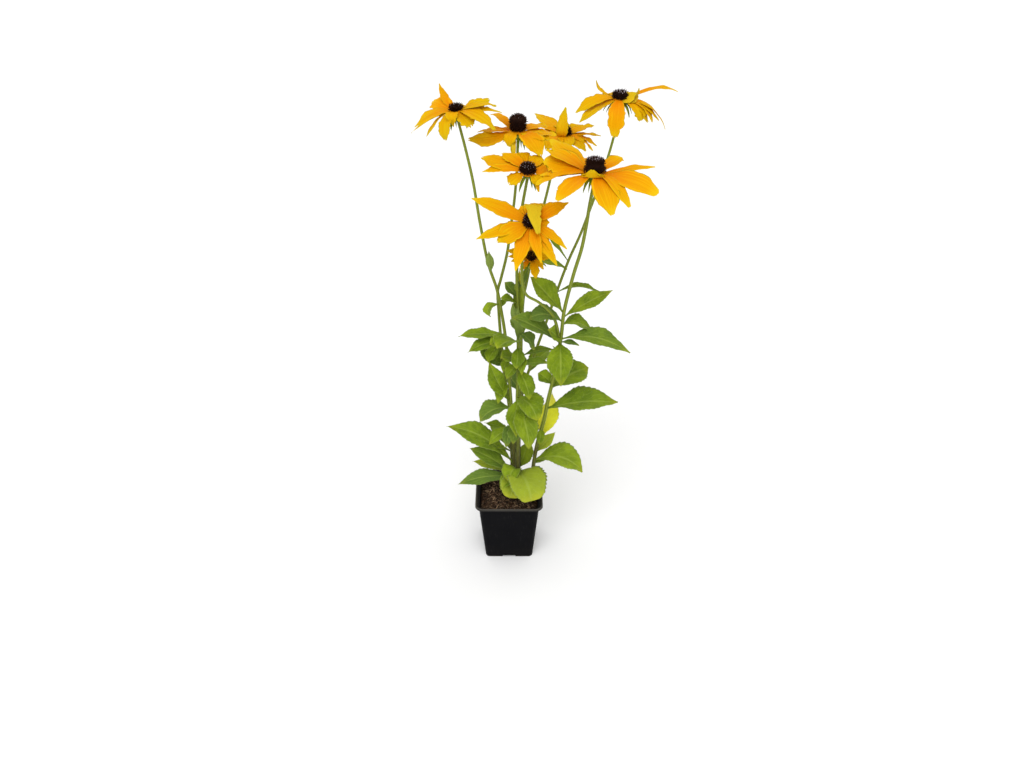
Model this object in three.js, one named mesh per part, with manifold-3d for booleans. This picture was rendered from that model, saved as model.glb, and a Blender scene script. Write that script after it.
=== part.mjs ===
import * as THREE from "three";
import { mergeGeometries, mergeVertices } from "three/addons/utils/BufferGeometryUtils.js";
import Module from "manifold-3d";

// A rudbeckia in flower in a square nursery pot. Millimetres, +Z up.
// The origin is the middle of the pot's base. +X is to the right and -Y is the front.

const wasm = await Module();
wasm.setup();

// Pot: square, round at the corners, tapered, with a turned-out rim and a notch under each side
const pot = {
  height: 95, rimHalf: 46.5, rimDepth: 6, topHalf: 42, footHalf: 33, wall: 1.3, floor: 1.8,
  topCorner: 7, footCorner: 6, cornerSteps: 3,
  notchWide: 18, notchHigh: 2.5, notchDeep: 4, drainRadius: 3.5, drainPlace: 17,
};

// Soil: a block that fills the pot to just below the rim, lumpy on top, with a hole for each stem
const soil = { top: 84, clear: 0.4, cells: 7, lump: 1.3, holeClear: 0.5, holeFloor: 42 };

// Stems: five-sided tubes along routes that start in the soil
const stemSides = 5;
const stemRows = 16;
const shootRows = 8;

// Blades: leaves, petals and sepals share one form, a thin lens on a bent centre line
const leafRows = 6;
const leafThick = 1.5;
const leafCup = 0.18;
const leafWave = 1.2;
const leafNotch = 0.04;
const petalRows = 4;
const petalThick = 1.4;
const sepalRows = 2;
const sepalThick = 1.3;

// Heads, measured along their own axis from the level where the petals leave. The petals stand
// in an upper and a lower layer; they start inside the collar, and an upper one is arched more.
const head = {
  neck: 10, cupTop: -1.9, cupFoot: -8.5, collarTop: 1.4, collarFoot: -1.4, coneFoot: 1.8,
  petalRoot: 0.84, layer: 1.5, arch: [0.09, 0.14], sides: 10, cupSides: 8, cupRim: 0.8, sepals: 6,
  sepalLevel: -3.6, sepalReach: 15, sepalDrop: 11, sepalWide: 4.6,
};

// Each stem: its route, its radius at the foot and at the top, and its leaves.
// A route's last point is the neck of the stem's flower, which is added to it.
// A leaf is [height on the stem, turn, reach, rise, lift, width, roll, out]: the turn is the
// compass angle in degrees from +X, reach and rise place the tip from the root, and lift and
// out move the middle of the leaf up and outwards.
const stems = {
  a: {
    route: [[7, 1, 48], [7, 2, 126], [6, 3, 175], [3, 4, 232], [-1, 6, 293], [-5, 8, 339],
      [-10, 10, 373], [-15, 12, 400], [-26, 15, 436], [-35, 17, 488], [-42, 18, 537], [-50, 19, 577]],
    radius: [2.3, 1.5],
    leaves: [
      [113, 190, 80, -2, 16, 24, 30, 0], [119, 186, 62, 46, 10, 28, 35, 0],
      [136, 177, 92, 62, 26, 34, 35, -8], [192, 203, 37, -15, 14, 19, 20, 0],
      [226, 191, 44, -15, 18, 30, 20, 6], [234, 188, 27, 69, 0, 24, 85, 6],
      [328, 197, 52, -7, 9, 22, 20, 0], [330, 215, 26, 2, 4, 20, 30, 0],
      [337, 185, 60, 0, 5, 22, 15, 0],
      [379, 205, 12, -15, 13, 14, 25, 18], [422, 262, 8, 32, 0, 11, 0, 4],
    ],
  },
  b: {
    route: [[3, 13, 48], [4, 12, 119], [3, 14, 168], [0, 16, 224], [-7, 18, 281], [-11, 20, 333],
      [-13, 22, 365], [-14, 23, 391], [-10, 24, 408], [-2, 25, 443], [3, 27, 480], [7, 28, 512],
      [10, 30, 549]],
    radius: [2.1, 1.5],
    leaves: [
      [112, 172, 56, 18, 8, 17, 30, 0], [150, 128, 52, 20, 12, 23, 0, 0],
      [181, 172, 36, 14, 4, 13, 20, 0], [284, 182, 30, 34, -4, 24, 60, 0],
      [300, 118, 44, 14, 10, 20, 0, 0], [318, 222, 24, -20, 4, 19, 10, 4],
      [366, 20, 15, 19, 0, 9, -30, 0],
    ],
  },
  c: {
    route: [[12, -7, 48], [12, -6, 132], [12, -6, 182], [11, -4, 237], [12, -4, 291],
      [12, -4, 343], [11, -5, 393], [10, -8, 434], [11, -12, 477], [15, -16, 514]],
    radius: [2.4, 1.6],
    leaves: [
      [122, 233, 36, -4, 12, 22, 0, 0], [133, 240, 28, -2, 18, 28, 0, 2],
      [128, 294, 52, -20, 24, 54, 0, 8], [238, 292, 46, -42, 16, 34, 0, 12],
      [248, 314, 40, -16, 18, 36, -12, 6],
      [292, 300, 30, -30, 8, 24, 0, 8], [300, 348, 40, 4, 4, 17, -20, 0],
      [308, 205, 26, 8, 4, 26, 20, 0],
      [325, 268, 22, -20, 6, 18, 0, 6], [332, 236, 46, 12, 12, 36, 0, 0], [346, 328, 26, -16, 8, 21, 0, 2],
      [350, 75, 5, 84, 2, 14, 0, 0], [388, 200, 24, 12, 4, 13, 30, 0], [396, 165, 18, 18, 2, 16, 40, 0],
      [406, 35, 18, 32, -2, 10, -40, 0],
    ],
  },
  d: {
    route: [[14, 9, 48], [14, 12, 119], [14, 18, 166], [15, 22, 220], [16, 28, 288], [17, 34, 344],
      [21, 44, 390], [30, 58, 426], [38, 70, 462], [46, 78, 492], [58, 90, 538]],
    radius: [2.1, 1.5],
    leaves: [
      [122, 40, 18, 40, -2, 24, -60, 0], [175, 38, 56, 14, 12, 25, 0, 0],
      [210, 342, 26, 33, 2, 15, -50, 0], [293, 350, 44, 13, 8, 14, -20, 0],
      [318, 95, 50, 6, 12, 24, 0, 0], [417, 16, 50, -15, 10, 19, -20, 0],
    ],
  },
  e: {
    route: [[8, 20, 48], [8, 21, 114], [11, 26, 160], [18, 32, 232], [32, 38, 283], [51, 44, 342],
      [62, 46, 379], [76, 48, 422], [90, 50, 457], [100, 50, 488], [111, 50, 523], [119, 50, 554],
      [126, 50, 585]],
    radius: [2, 1.4],
    leaves: [
      [140, 100, 54, 12, 14, 26, 0, 0], [232, 126, 50, 10, 12, 32, 0, 0],
      [262, 55, 52, 10, 12, 26, 0, 0], [359, 196, 22, 33, 2, 22, 60, 0],
      [379, 350, 58, 4, 16, 15, 0, 0], [422, 192, 27, 35, 2, 10, 30, 0],
    ],
  },
  f: {
    route: [[26, 2, 48], [30, 1, 100], [33, 0, 130], [38, -3, 172], [47, -8, 218], [51, -12, 248],
      [57, -18, 286], [65, -26, 348], [68, -32, 392], [77, -40, 443], [85, -46, 479],
      [89, -50, 508], [92, -53, 537]],
    radius: [2.6, 1.8],
    leaves: [
      [138, 24, 22, 6, 4, 11, -20, 0], [145, 350, 66, -13, 31, 39, -25, 8],
      [158, 14, 28, 30, 0, 16, -60, 0], [235, 0, 94, 12, 10, 42, -20, 0],
      [270, 30, 58, 14, 10, 42, -30, 0], [277, 152, 20, 12, 4, 19, 40, 0],
      [343, 270, 45, -36, 14, 33, 0, 6], [343, 189, 64, 38, 12, 28, 35, 0],
      [345, 348, 24, -2, 2, 10, -20, 0], [346, 215, 20, 24, 4, 24, 60, 0],
      [349, 354, 88, -12, 22, 28, -30, 0], [371, 32, 48, -22, 14, 24, -35, 0],
      [375, 176, 44, 2, 18, 26, 30, 0], [382, 18, 64, 28, 4, 22, -40, 0],
      [388, 168, 44, 44, 4, 28, 45, 0],
    ],
  },
};

// Side shoots: a route that leaves a stem at a leaf and carries a flower of its own
const shoots = {
  g: {
    from: "f",
    route: [[64, -26, 346], [58, -30, 375], [49, -34, 393], [36, -38, 407], [22, -40, 417],
      [17, -40, 431], [16, -39, 452], [17, -42, 480]],
    radius: [1.8, 1.5],
  },
  h: {
    from: "c",
    route: [[12, -4, 346], [14, -3, 368], [18, 0, 393], [22, 1, 412], [25, -3, 432]],
    radius: [1.7, 1.4],
  },
};

// Flowers: where the petals leave, the way the head leans, the cone's radius, its height and how
// wide its top is beside its foot, how blunt the petals end from 0 to 1, and the petals. A petal
// is [turn, reach, rise, width] about the head's own axis, counted like a leaf's. A fifth value
// gives what a petal has of its own: its bluntness, its roll, its elbow, or the angle of its root
// where it folds over the cone, and its reach then counts from that root.
const flowers = {
  a: {
    stem: "a", at: [-60, 20, 623.5], lean: [-0.12, -0.1, 1], cone: [8.4, 4.4, 0.96], blunt: 0.4,
    petals: [
      [13, 41, 4, 20, { roll: -25 }], [50, 30, -12, 18], [85, 28, -12, 17],
      [119, 31, 23.5, 11, { elbow: [26, 4], blunt: 0 }],
      [138, 41, 5.5, 24, { roll: 20, blunt: 1 }], [180, 52, -14.5, 20, { roll: 15, blunt: 0.2 }],
      [190, 56, -17, 8, { blunt: 0 }], [194, 39, -24.5, 9, { blunt: 1 }],
      [233, 25, -25.5, 18, { elbow: [20, 0], blunt: 0.8 }],
      [256, 18, -13.5, 15, { elbow: [16, 8], blunt: 0 }], [308, 30, -12, 23, { blunt: 0.9 }],
      [326, 54, -15.5, 20], [350, 53, -4.5, 10, { blunt: 0 }], [358, 48, 1.5, 14, { blunt: 0.7 }],
    ],
  },
  b: {
    stem: "b", at: [11, 30, 596], lean: [0, 0, 1], cone: [9.6, 17, 1.16], blunt: 0.5,
    petals: [
      [1, 46, -4, 24], [33, 42, -2, 21], [64, 38, -6, 20], [97, 36, -8, 20], [126, 38, -6, 18],
      [150, 38, 14, 18, { elbow: [17, 19] }], [169, 50, -4, 17],
      [194, 60, -8, 23, { roll: 18, elbow: [20, -15], blunt: 0.9 }],
      [274, 17, -29, 10, { root: 225, elbow: [18, -2] }], [243, 21, -14, 17, { elbow: [18, 2] }],
      [309, 13, -5, 12, { elbow: [14, 1] }], [305, 46, -18, 28], [336, 44, -8, 22],
    ],
  },
  c: {
    stem: "c", at: [22, -25, 567], lean: [0.02, -0.35, 1], cone: [9.4, 7.2, 0.88], blunt: 0.5,
    petals: [
      [23, 36, -1.5, 22], [58, 31, 0.5, 19], [104, 37, 0.5, 20], [132, 41, 0.5, 18],
      [157, 58, 0.5, 25, { blunt: 0.8 }], [175, 53, -5.5, 14, { blunt: 0 }],
      [213, 25, -9.5, 18, { blunt: 1 }], [311, 22, -16.5, 8],
      [309, 19, -8, 17, { elbow: [13, 5] }], [356, 35, -5.5, 23],
    ],
  },
  d: {
    stem: "d", at: [69, 95, 571], lean: [0, -0.1, 1], cone: [8.6, 7.5, 0.9], blunt: 0.2,
    petals: [
      [7, 47, -4, 12], [26, 43, 2, 18], [54, 40, 2, 19], [95, 38, -2, 20], [123, 67, 6, 20],
      [147, 53, 0, 11], [170, 42, -4, 21], [228, 37, -8, 27],
      [76, 16, 33, 15, { root: 250, elbow: [-17, 15] }], [276, 30, -5.5, 22], [316, 36, -10, 18],
      [342, 38, -16, 14], [357, 41, -12, 14],
    ],
  },
  e: {
    stem: "e", at: [131, 50, 629], lean: [0.05, -0.1, 1], cone: [9.6, 6.6, 1], blunt: 0.3,
    petals: [
      [18, 73, 4, 11, { elbow: [42, 19] }], [58, 36, -12, 19], [93, 34, -14, 19],
      [122, 34, -12, 17], [150, 35, 14.5, 8, { elbow: [22, 2], blunt: 0.9 }],
      [187, 53, -17.5, 18, { roll: 22, blunt: 0.3 }], [202, 50, -25, 20],
      [258, 33, -35.5, 20, { elbow: [30, 2], blunt: 1 }],
      [323, 30, -19.5, 20, { roll: -20, elbow: [24, 2], blunt: 0.8 }],
      [342, 41, -23.5, 16, { elbow: [26, 2] }], [349, 56, -30, 12, { elbow: [34, 4], blunt: 0 }],
      [18, 18, 14, 18, { root: 292, elbow: [16, -5] }],
    ],
  },
  f: {
    stem: "f", at: [96, -55, 576], lean: [0, 0, 1], cone: [13.1, 15, 0.78], blunt: 0.95,
    petals: [
      [5, 68, 6, 13, { blunt: 0.4 }], [44, 46, 5, 24], [74, 44, 2, 20], [102, 46, 2, 20],
      [134, 66, 25.5, 32], [156, 61, 6.5, 38, { roll: 32 }], [179, 61, -4, 19], [188, 67, -11, 17],
      [223, 60, -16, 25], [262, 17, 9, 27, { elbow: [10.5, -4] }],
      [285, 61, -26, 30, { blunt: 0.6 }], [306, 58, -24, 15], [334, 75, -11.5, 30, { roll: -25 }],
    ],
  },
  g: {
    stem: "f", at: [26, -58, 518], lean: [-0.1, -0.75, 1], cone: [9, 9, 0.9], blunt: 0,
    petals: [
      [3, 21, -4, 17], [30, 50, 1, 19], [60, 30, 0, 23, { blunt: 0.6 }],
      [85, 25, 0, 20, { blunt: 0.6 }], [118, 26, 0, 20], [154, 78, -2, 20], [193, 65, -8, 18],
      [209, 45, -6, 28, { blunt: 0.5 }], [250, 58, -12, 20], [280, 51, -6, 14], [297, 57, -12, 16],
      [323, 51, -8, 12], [98, -29, 12, 23, { root: 54, roll: 25, elbow: [31, 22], blunt: 0.9 }],
    ],
  },
  h: {
    stem: "c", at: [27, -24, 459], lean: [0.1, -0.6, 1], cone: [6.6, 7.5, 0.9], blunt: 0.5,
    petals: [
      [10, 25, -2, 13], [58, 22, 0, 13], [104, 19, 2, 12], [160, 30, 0, 9], [176, 28, -2, 8],
      [196, 24, -4, 8], [230, 20, -5, 12], [284, 27, -6, 15], [326, 24, -6, 13],
    ],
  },
};

// The one withered leaf behind the right-hand stem stands beside it as a piece of its own
const yellowLeaf = { root: [44, 3, 180], turn: 40, reach: 18, rise: 66, lift: -4, wide: 30, roll: -80 };

// The same small random draw for every set of repeats
function seeded(seed) {
  let state = seed;
  return (low, high) => {
    state = (state * 16807) % 2147483647;
    return low + (high - low) * (state / 2147483647);
  };
}

// A closed geometry as a solid: corners merged and faces without area dropped
function toSolid(geometry) {
  const plain = geometry.index ? geometry : mergeVertices(geometry);
  plain.deleteAttribute("normal");
  plain.deleteAttribute("uv");
  const merged = mergeVertices(plain, 1e-3);
  const faces = [];
  for (let i = 0; i < merged.index.count; i += 3) {
    const [a, b, c] = [0, 1, 2].map((k) => merged.index.getX(i + k));
    if (a !== b && b !== c && c !== a) faces.push(a, b, c);
  }
  return new wasm.Manifold(new wasm.Mesh({
    numProp: 3,
    vertProperties: new Float32Array(merged.attributes.position.array),
    triVerts: new Uint32Array(faces),
  }));
}

// A solid back as a geometry for a mesh
function toGeometry(solid) {
  const mesh = solid.getMesh();
  const geometry = new THREE.BufferGeometry();
  geometry.setAttribute("position", new THREE.BufferAttribute(mesh.vertProperties, 3));
  geometry.setIndex(new THREE.BufferAttribute(mesh.triVerts, 1));
  geometry.computeVertexNormals();
  return geometry;
}

function join(solids) {
  return solids.reduce((whole, next) => whole.add(next));
}

// Moves every corner of a geometry to place(corner)
function remap(geometry, place) {
  const at = geometry.attributes.position;
  const corner = new THREE.Vector3();
  for (let i = 0; i < at.count; i++) {
    corner.fromBufferAttribute(at, i);
    const moved = place(corner);
    at.setXYZ(i, moved.x, moved.y, moved.z);
  }
  return geometry;
}

// A tube along a curve, narrowing from its first radius to its second
function tube(curve, radii, rows) {
  const front = new THREE.Vector3(0, 1, 0);
  return toSolid(remap(new THREE.CylinderGeometry(1, 1, 1, stemSides, rows), (corner) => {
    const t = corner.y + 0.5;
    const along = curve.getTangent(t);
    const side = front.clone().cross(along).normalize();
    const other = side.clone().cross(along);
    const radius = radii[0] + (radii[1] - radii[0]) * t;
    return curve.getPoint(t)
      .addScaledVector(side, corner.x * radius)
      .addScaledVector(other, corner.z * radius);
  }));
}

// A blade: two sheets that meet at their edges, u across from -1 to 1 and v from root to tip.
// Its rows bunch towards the tip where bunch is over 1.
function blade(rows, form, outline) {
  const { root, turn, elbow, tip, wide, thick, roll = 0, cup = 0, wave = 0, bunch = 1 } = form;
  const angle = THREE.MathUtils.degToRad(turn);
  const outward = new THREE.Vector3(Math.cos(angle), Math.sin(angle), 0);
  const level = new THREE.Vector3(Math.sin(angle), -Math.cos(angle), 0);
  const up = new THREE.Vector3(0, 0, 1);
  const sheets = [1, -1].map((face) => {
    const sheet = new THREE.PlaneGeometry(2, 1, 2, rows);
    remap(sheet, (corner) => {
      const u = corner.x;
      const v = 1 - (0.5 - corner.y) ** bunch;
      const centre = [0, 1].map((k) => 2 * v * (1 - v) * elbow[k] + v * v * tip[k]);
      const heading = [0, 1].map((k) => 2 * (1 - v) * elbow[k] + 2 * v * (tip[k] - elbow[k]));
      const along = outward.clone().multiplyScalar(heading[0]).addScaledVector(up, heading[1]).normalize();
      const flatNormal = level.clone().cross(along);
      const twist = THREE.MathUtils.degToRad(roll) * v * (2 - v);
      const side = level.clone().multiplyScalar(Math.cos(twist))
        .addScaledVector(flatNormal, Math.sin(twist));
      const normal = side.clone().cross(along);
      const half = 0.5 * wide * outline(v);
      const edge = Math.abs(u);
      const height = cup * half * edge + wave * Math.sin(9 * v + 2 * u) * edge * v
        + face * (1 - edge) * 0.5 * thick * Math.min(1, 6 * (1 - v));
      return root.clone()
        .addScaledVector(outward, centre[0])
        .addScaledVector(up, centre[1])
        .addScaledVector(side, u * half)
        .addScaledVector(normal, height);
    });
    if (face < 0) sheet.index.array.reverse();
    return sheet;
  });
  const whole = mergeGeometries(sheets);
  const rootRow = rows * 3;
  const under = (rows + 1) * 3;
  const cap = [rootRow, rootRow + 2, rootRow + 1, rootRow, under + rootRow + 1, rootRow + 2];
  whole.setIndex([...whole.index.array, ...cap]);
  return toSolid(whole);
}

// A leaf's edge: broad leaves are rounder and narrow ones longer in the tip
function leafOutline(breadth) {
  const point = THREE.MathUtils.clamp(1.55 - 0.9 * breadth, 0.75, 1.35);
  return (v) => {
    const body = Math.sin(Math.PI * v ** 1.1) ** point;
    const notch = 1 + leafNotch * Math.cos(leafRows * Math.PI * v);
    return Math.max(body * notch, 0.13 * (1 - v), 0.03);
  };
}

// A petal's edge: a blunt one is widest further out and rounder at its end
function petalOutline(blunt) {
  const foot = 0.36 - 0.06 * blunt;
  const peak = 0.42 + 0.13 * blunt;
  const tip = 0.08 + 0.2 * blunt;
  const fullness = 1.5 + 1.3 * blunt;
  return (v) => {
    const rise = foot + (1 - foot) * Math.sin(0.5 * Math.PI * Math.min(1, v / peak));
    const past = Math.max(0, (v - peak) / (1 - peak));
    return rise * (1 - (1 - tip) * past ** fullness);
  };
}

function sepalOutline(v) {
  return Math.max(0.12, 0.7 + 0.9 * v - 1.5 * v * v);
}

function leafSolid(root, [, turn, reach, rise, lift, wide, roll, out]) {
  return blade(leafRows, {
    root, turn, wide, roll,
    elbow: [0.5 * reach + out, 0.5 * rise + lift],
    tip: [reach, rise],
    thick: leafThick, cup: leafCup, wave: leafWave,
  }, leafOutline(wide / Math.hypot(reach, rise)));
}

function curveThrough(points) {
  return new THREE.CatmullRomCurve3(points.map((p) => new THREE.Vector3(...p)), false, "catmullrom", 0.5);
}

// The point of a rising curve at a given height
function pointAtHeight(curve, height) {
  let low = 0;
  let high = 1;
  for (let step = 0; step < 30; step++) {
    const middle = (low + high) / 2;
    if (curve.getPoint(middle).z < height) low = middle;
    else high = middle;
  }
  return curve.getPoint(low);
}

// A flower's own frame: its axis is the way it leans, and its x stays level
function flowerFrame({ at, lean }) {
  const axis = new THREE.Vector3(...lean).normalize();
  const across = new THREE.Vector3(1, 0, 0).addScaledVector(axis, -axis.x).normalize();
  const forward = axis.clone().cross(across);
  return new THREE.Matrix4().makeBasis(across, forward, axis).setPosition(...at);
}

function neckOf(flower) {
  return new THREE.Vector3(0, 0, -head.neck).applyMatrix4(flowerFrame(flower)).toArray();
}

// A turned form about +Z from [radius, height] pairs that start and end on the axis
function turned(profile, sides) {
  const points = profile.map(([radius, height]) => new THREE.Vector2(radius, height));
  return new THREE.LatheGeometry(points, sides).rotateX(Math.PI / 2);
}

// The green cup and the sepals under a flower, in the flower's own frame
function greenCup(flower, seed) {
  const random = seeded(seed);
  const rim = head.cupRim * flower.cone[0];
  const cup = turned([[0, head.cupFoot - 2.5], [1.8, head.cupFoot - 2], [0.55 * rim, head.cupFoot + 2.5],
    [rim, head.cupTop - 1.6], [rim, head.cupTop], [0, head.cupTop]], head.cupSides);
  const solids = [toSolid(cup)];
  for (let i = 0; i < head.sepals; i++) {
    const turn = (360 / head.sepals) * i + random(-9, 9);
    const angle = THREE.MathUtils.degToRad(turn);
    const reach = head.sepalReach * random(0.8, 1.15);
    const drop = head.sepalDrop * random(0.8, 1.3);
    solids.push(blade(sepalRows, {
      root: new THREE.Vector3(Math.cos(angle), Math.sin(angle), 0).multiplyScalar(0.5 * rim)
        .setZ(head.sepalLevel),
      turn, wide: head.sepalWide, thick: sepalThick,
      elbow: [0.75 * reach, -0.05 * drop],
      tip: [reach, -drop],
    }, sepalOutline));
  }
  return solids;
}

// The petals and the collar that they leave
function petalRing(flower, seed) {
  const random = seeded(seed);
  const rim = flower.cone[0];
  const collar = turned([[0, head.collarFoot], [rim, head.collarFoot], [rim, head.collarTop],
    [0, head.collarTop]], head.sides);
  const solids = [toSolid(collar)];
  flower.petals.forEach(([turn, reach, rise, wide, own = {}], place) => {
    const folded = own.root !== undefined;
    const rootTurn = THREE.MathUtils.degToRad(folded ? own.root : turn);
    const start = head.petalRoot * flower.cone[0];
    const long = folded ? reach : reach - start;
    const upper = place % 2;
    const arch = (head.arch[upper] + random(-0.01, 0.01)) * Math.abs(reach);
    solids.push(blade(petalRows, {
      root: new THREE.Vector3(Math.cos(rootTurn), Math.sin(rootTurn), 0).multiplyScalar(start)
        .setZ((upper - 0.5) * head.layer),
      turn, wide,
      elbow: own.elbow ?? [0.5 * long, 0.25 * rise + arch],
      tip: [long, rise],
      thick: petalThick, cup: random(0, 0.1), roll: own.roll ?? random(-8, 8), wave: random(0.2, 0.5),
      bunch: 1.4,
    }, petalOutline(own.blunt ?? flower.blunt)));
  });
  return toGeometry(join(solids));
}

// The dark cone: a dome under staggered rows of florets, which stand out as points
function floretCone([radius, height, crown]) {
  const rows = [[0, 0], [0.78, 0], [0.95, 0.2], [1, 0.4], [1, 0.6], [0.97, 0.8], [0.85, 0.94],
    [0.5, 1], [0, 0.98]];
  const cone = turned(rows.map(([r, h]) => (
    [r * radius * (1 + (crown - 1) * h), head.coneFoot + h * height]
  )), head.sides);
  const at = cone.attributes.position;
  for (let i = 0; i < at.count; i++) {
    const row = i % rows.length;
    const column = Math.floor(i / rows.length);
    const tip = (row + column) % 2 === 0;
    if (row < 2 || row === rows.length - 1) continue;
    const grow = tip ? 1.07 : 0.93;
    const push = tip ? 0.5 : -0.3;
    at.setXYZ(i, at.getX(i) * grow, at.getY(i) * grow, at.getZ(i) + push * rows[row][1]);
  }
  return toGeometry(toSolid(cone));
}

// A ring of corners of a rounded square, counted from +X
function squareLoop(half, corner, z) {
  const points = [];
  for (let quarter = 0; quarter < 4; quarter++) {
    for (let step = 0; step <= pot.cornerSteps; step++) {
      const angle = (Math.PI / 2) * (quarter + step / pot.cornerSteps);
      const middle = (Math.PI / 2) * (quarter + 0.5);
      const reach = Math.SQRT2 * (half - corner);
      points.push(new THREE.Vector3(
        reach * Math.cos(middle) + corner * Math.cos(angle),
        reach * Math.sin(middle) + corner * Math.sin(angle),
        z,
      ));
    }
  }
  return points;
}

// A solid skinned over a stack of loops, flat at the first and the last
function skinned(loops) {
  const count = loops[0].length;
  const stack = new THREE.CylinderGeometry(1, 1, 1, count, loops.length - 1);
  const rows = loops.length - 1;
  return toSolid(remap(stack, (corner) => {
    const loop = loops[Math.round((corner.y + 0.5) * rows)];
    if (Math.hypot(corner.x, corner.z) < 0.5) return new THREE.Vector3(0, 0, loop[0].z);
    const angle = Math.atan2(corner.x, corner.z);
    const place = Math.round((angle / (2 * Math.PI)) * count + count) % count;
    return loop[place];
  }));
}

function potHalf(z) {
  return pot.footHalf + (pot.topHalf - pot.footHalf) * (z / pot.height);
}

function potCorner(z) {
  return pot.footCorner + (pot.topCorner - pot.footCorner) * (z / pot.height);
}

function potGeometry() {
  const { height, rimHalf, rimDepth, wall } = pot;
  const rimCorner = pot.topCorner + rimHalf - pot.topHalf;
  const under = height - rimDepth;
  const outer = skinned([
    squareLoop(potHalf(0), potCorner(0), 0),
    squareLoop(potHalf(under), potCorner(under), under),
    squareLoop(rimHalf - wall, rimCorner - wall, under + 0.4),
    squareLoop(rimHalf, rimCorner, under + 1.4),
    squareLoop(rimHalf, rimCorner, height - 0.8),
    squareLoop(rimHalf - 0.8, rimCorner - 0.8, height),
  ]);
  const inner = skinned([
    squareLoop(potHalf(pot.floor) - wall, potCorner(0) - wall, pot.floor),
    squareLoop(potHalf(height - 4) - wall, potCorner(height) - wall, height - 4),
    squareLoop(rimHalf - 3.2, rimCorner - 3.2, height + 1),
  ]);
  let shell = outer.subtract(inner);
  for (let side = 0; side < 4; side++) {
    const notch = new THREE.BoxGeometry(2 * pot.notchDeep, pot.notchWide, 2 * pot.notchHigh)
      .translate(pot.footHalf, 0, 0).rotateZ((side * Math.PI) / 2);
    const drain = new THREE.CylinderGeometry(pot.drainRadius, pot.drainRadius, 4 * pot.floor, 10)
      .rotateX(Math.PI / 2)
      .translate(pot.drainPlace, pot.drainPlace, 0).rotateZ((side * Math.PI) / 2);
    shell = shell.subtract(toSolid(notch)).subtract(toSolid(drain));
  }
  return toGeometry(shell);
}

// Height of the soil's surface: long and short waves that cross
function soilHeight(x, y) {
  return soil.top + soil.lump * (Math.sin(0.21 * x + 0.8) * Math.cos(0.17 * y)
    + 0.8 * Math.sin(0.47 * x - 0.39 * y) + 0.5 * Math.cos(0.83 * y + 0.31 * x));
}

function soilGeometry(curves) {
  const block = new THREE.BoxGeometry(2, 2, 1, soil.cells, soil.cells, 1);
  const solid = toSolid(remap(block, (corner) => {
    const low = corner.z < 0;
    const level = pot.floor + soil.clear;
    const widest = low ? level : soil.top - 2 * soil.lump;
    const half = potHalf(widest) - pot.wall - soil.clear;
    const round = potCorner(widest) - pot.wall;
    const reach = new THREE.Vector2(corner.x, corner.y).multiplyScalar(half);
    const inner = half - round;
    const over = new THREE.Vector2(
      Math.max(0, Math.abs(reach.x) - inner),
      Math.max(0, Math.abs(reach.y) - inner),
    );
    const bulge = Math.max(over.x, over.y);
    const trim = over.length() > 0 ? bulge / over.length() : 1;
    const x = Math.sign(reach.x) * (Math.min(Math.abs(reach.x), inner) + over.x * trim);
    const y = Math.sign(reach.y) * (Math.min(Math.abs(reach.y), inner) + over.y * trim);
    return new THREE.Vector3(x, y, low ? level : soilHeight(x, y));
  }));
  return toGeometry(curves.reduce((rest, { curve, radius }) => {
    const foot = pointAtHeight(curve, soil.holeFloor);
    const mouth = pointAtHeight(curve, soil.top + 12);
    const run = mouth.clone().sub(foot);
    const below = foot.clone().addScaledVector(run, -0.12);
    const bore = curveThrough([below.toArray(), mouth.toArray()]);
    return rest.subtract(tube(bore, [radius + soil.holeClear, radius + soil.holeClear], 1));
  }, solid));
}

const materials = {
  pot: new THREE.MeshStandardMaterial({ color: 0x1c1c20, roughness: 0.55, metalness: 0 }),
  soil: new THREE.MeshStandardMaterial({ color: 0x2e2018, roughness: 1, metalness: 0 }),
  green: new THREE.MeshStandardMaterial({ color: 0x6d8f2c, roughness: 0.7, metalness: 0 }),
  yellow: new THREE.MeshStandardMaterial({ color: 0xf5ac0e, roughness: 0.6, metalness: 0 }),
  dark: new THREE.MeshStandardMaterial({ color: 0x1f1216, roughness: 0.8, metalness: 0 }),
  withered: new THREE.MeshStandardMaterial({ color: 0xd8cf2c, roughness: 0.7, metalness: 0 }),
};

function named(name, geometry, material) {
  const mesh = new THREE.Mesh(geometry, material);
  mesh.name = name;
  return mesh;
}

// One leafy stem: its tube, its shoots, its leaves and the cups of its flowers, as one body
function leafyStem(name, curves) {
  const { radius, leaves } = stems[name];
  const solids = [tube(curves[name], radius, stemRows)];
  leaves.forEach((leaf) => solids.push(leafSolid(pointAtHeight(curves[name], leaf[0]), leaf)));
  Object.entries(shoots).filter(([, shoot]) => shoot.from === name).forEach(([key, shoot]) => {
    solids.push(tube(curves[key], shoot.radius, shootRows));
  });
  Object.entries(flowers).filter(([, flower]) => flower.stem === name).forEach(([key, flower]) => {
    const frame = flowerFrame(flower);
    greenCup(flower, 10 + key.charCodeAt(0)).forEach((piece) => {
      solids.push(toSolid(toGeometry(piece).applyMatrix4(frame)));
    });
  });
  return toGeometry(join(solids));
}

const group = new THREE.Group();
const curves = {};
Object.entries(stems).forEach(([name, { route }]) => {
  curves[name] = curveThrough([...route, neckOf(flowers[name])]);
});
Object.entries(shoots).forEach(([name, { route }]) => {
  curves[name] = curveThrough([...route, neckOf(flowers[name])]);
});

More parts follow.
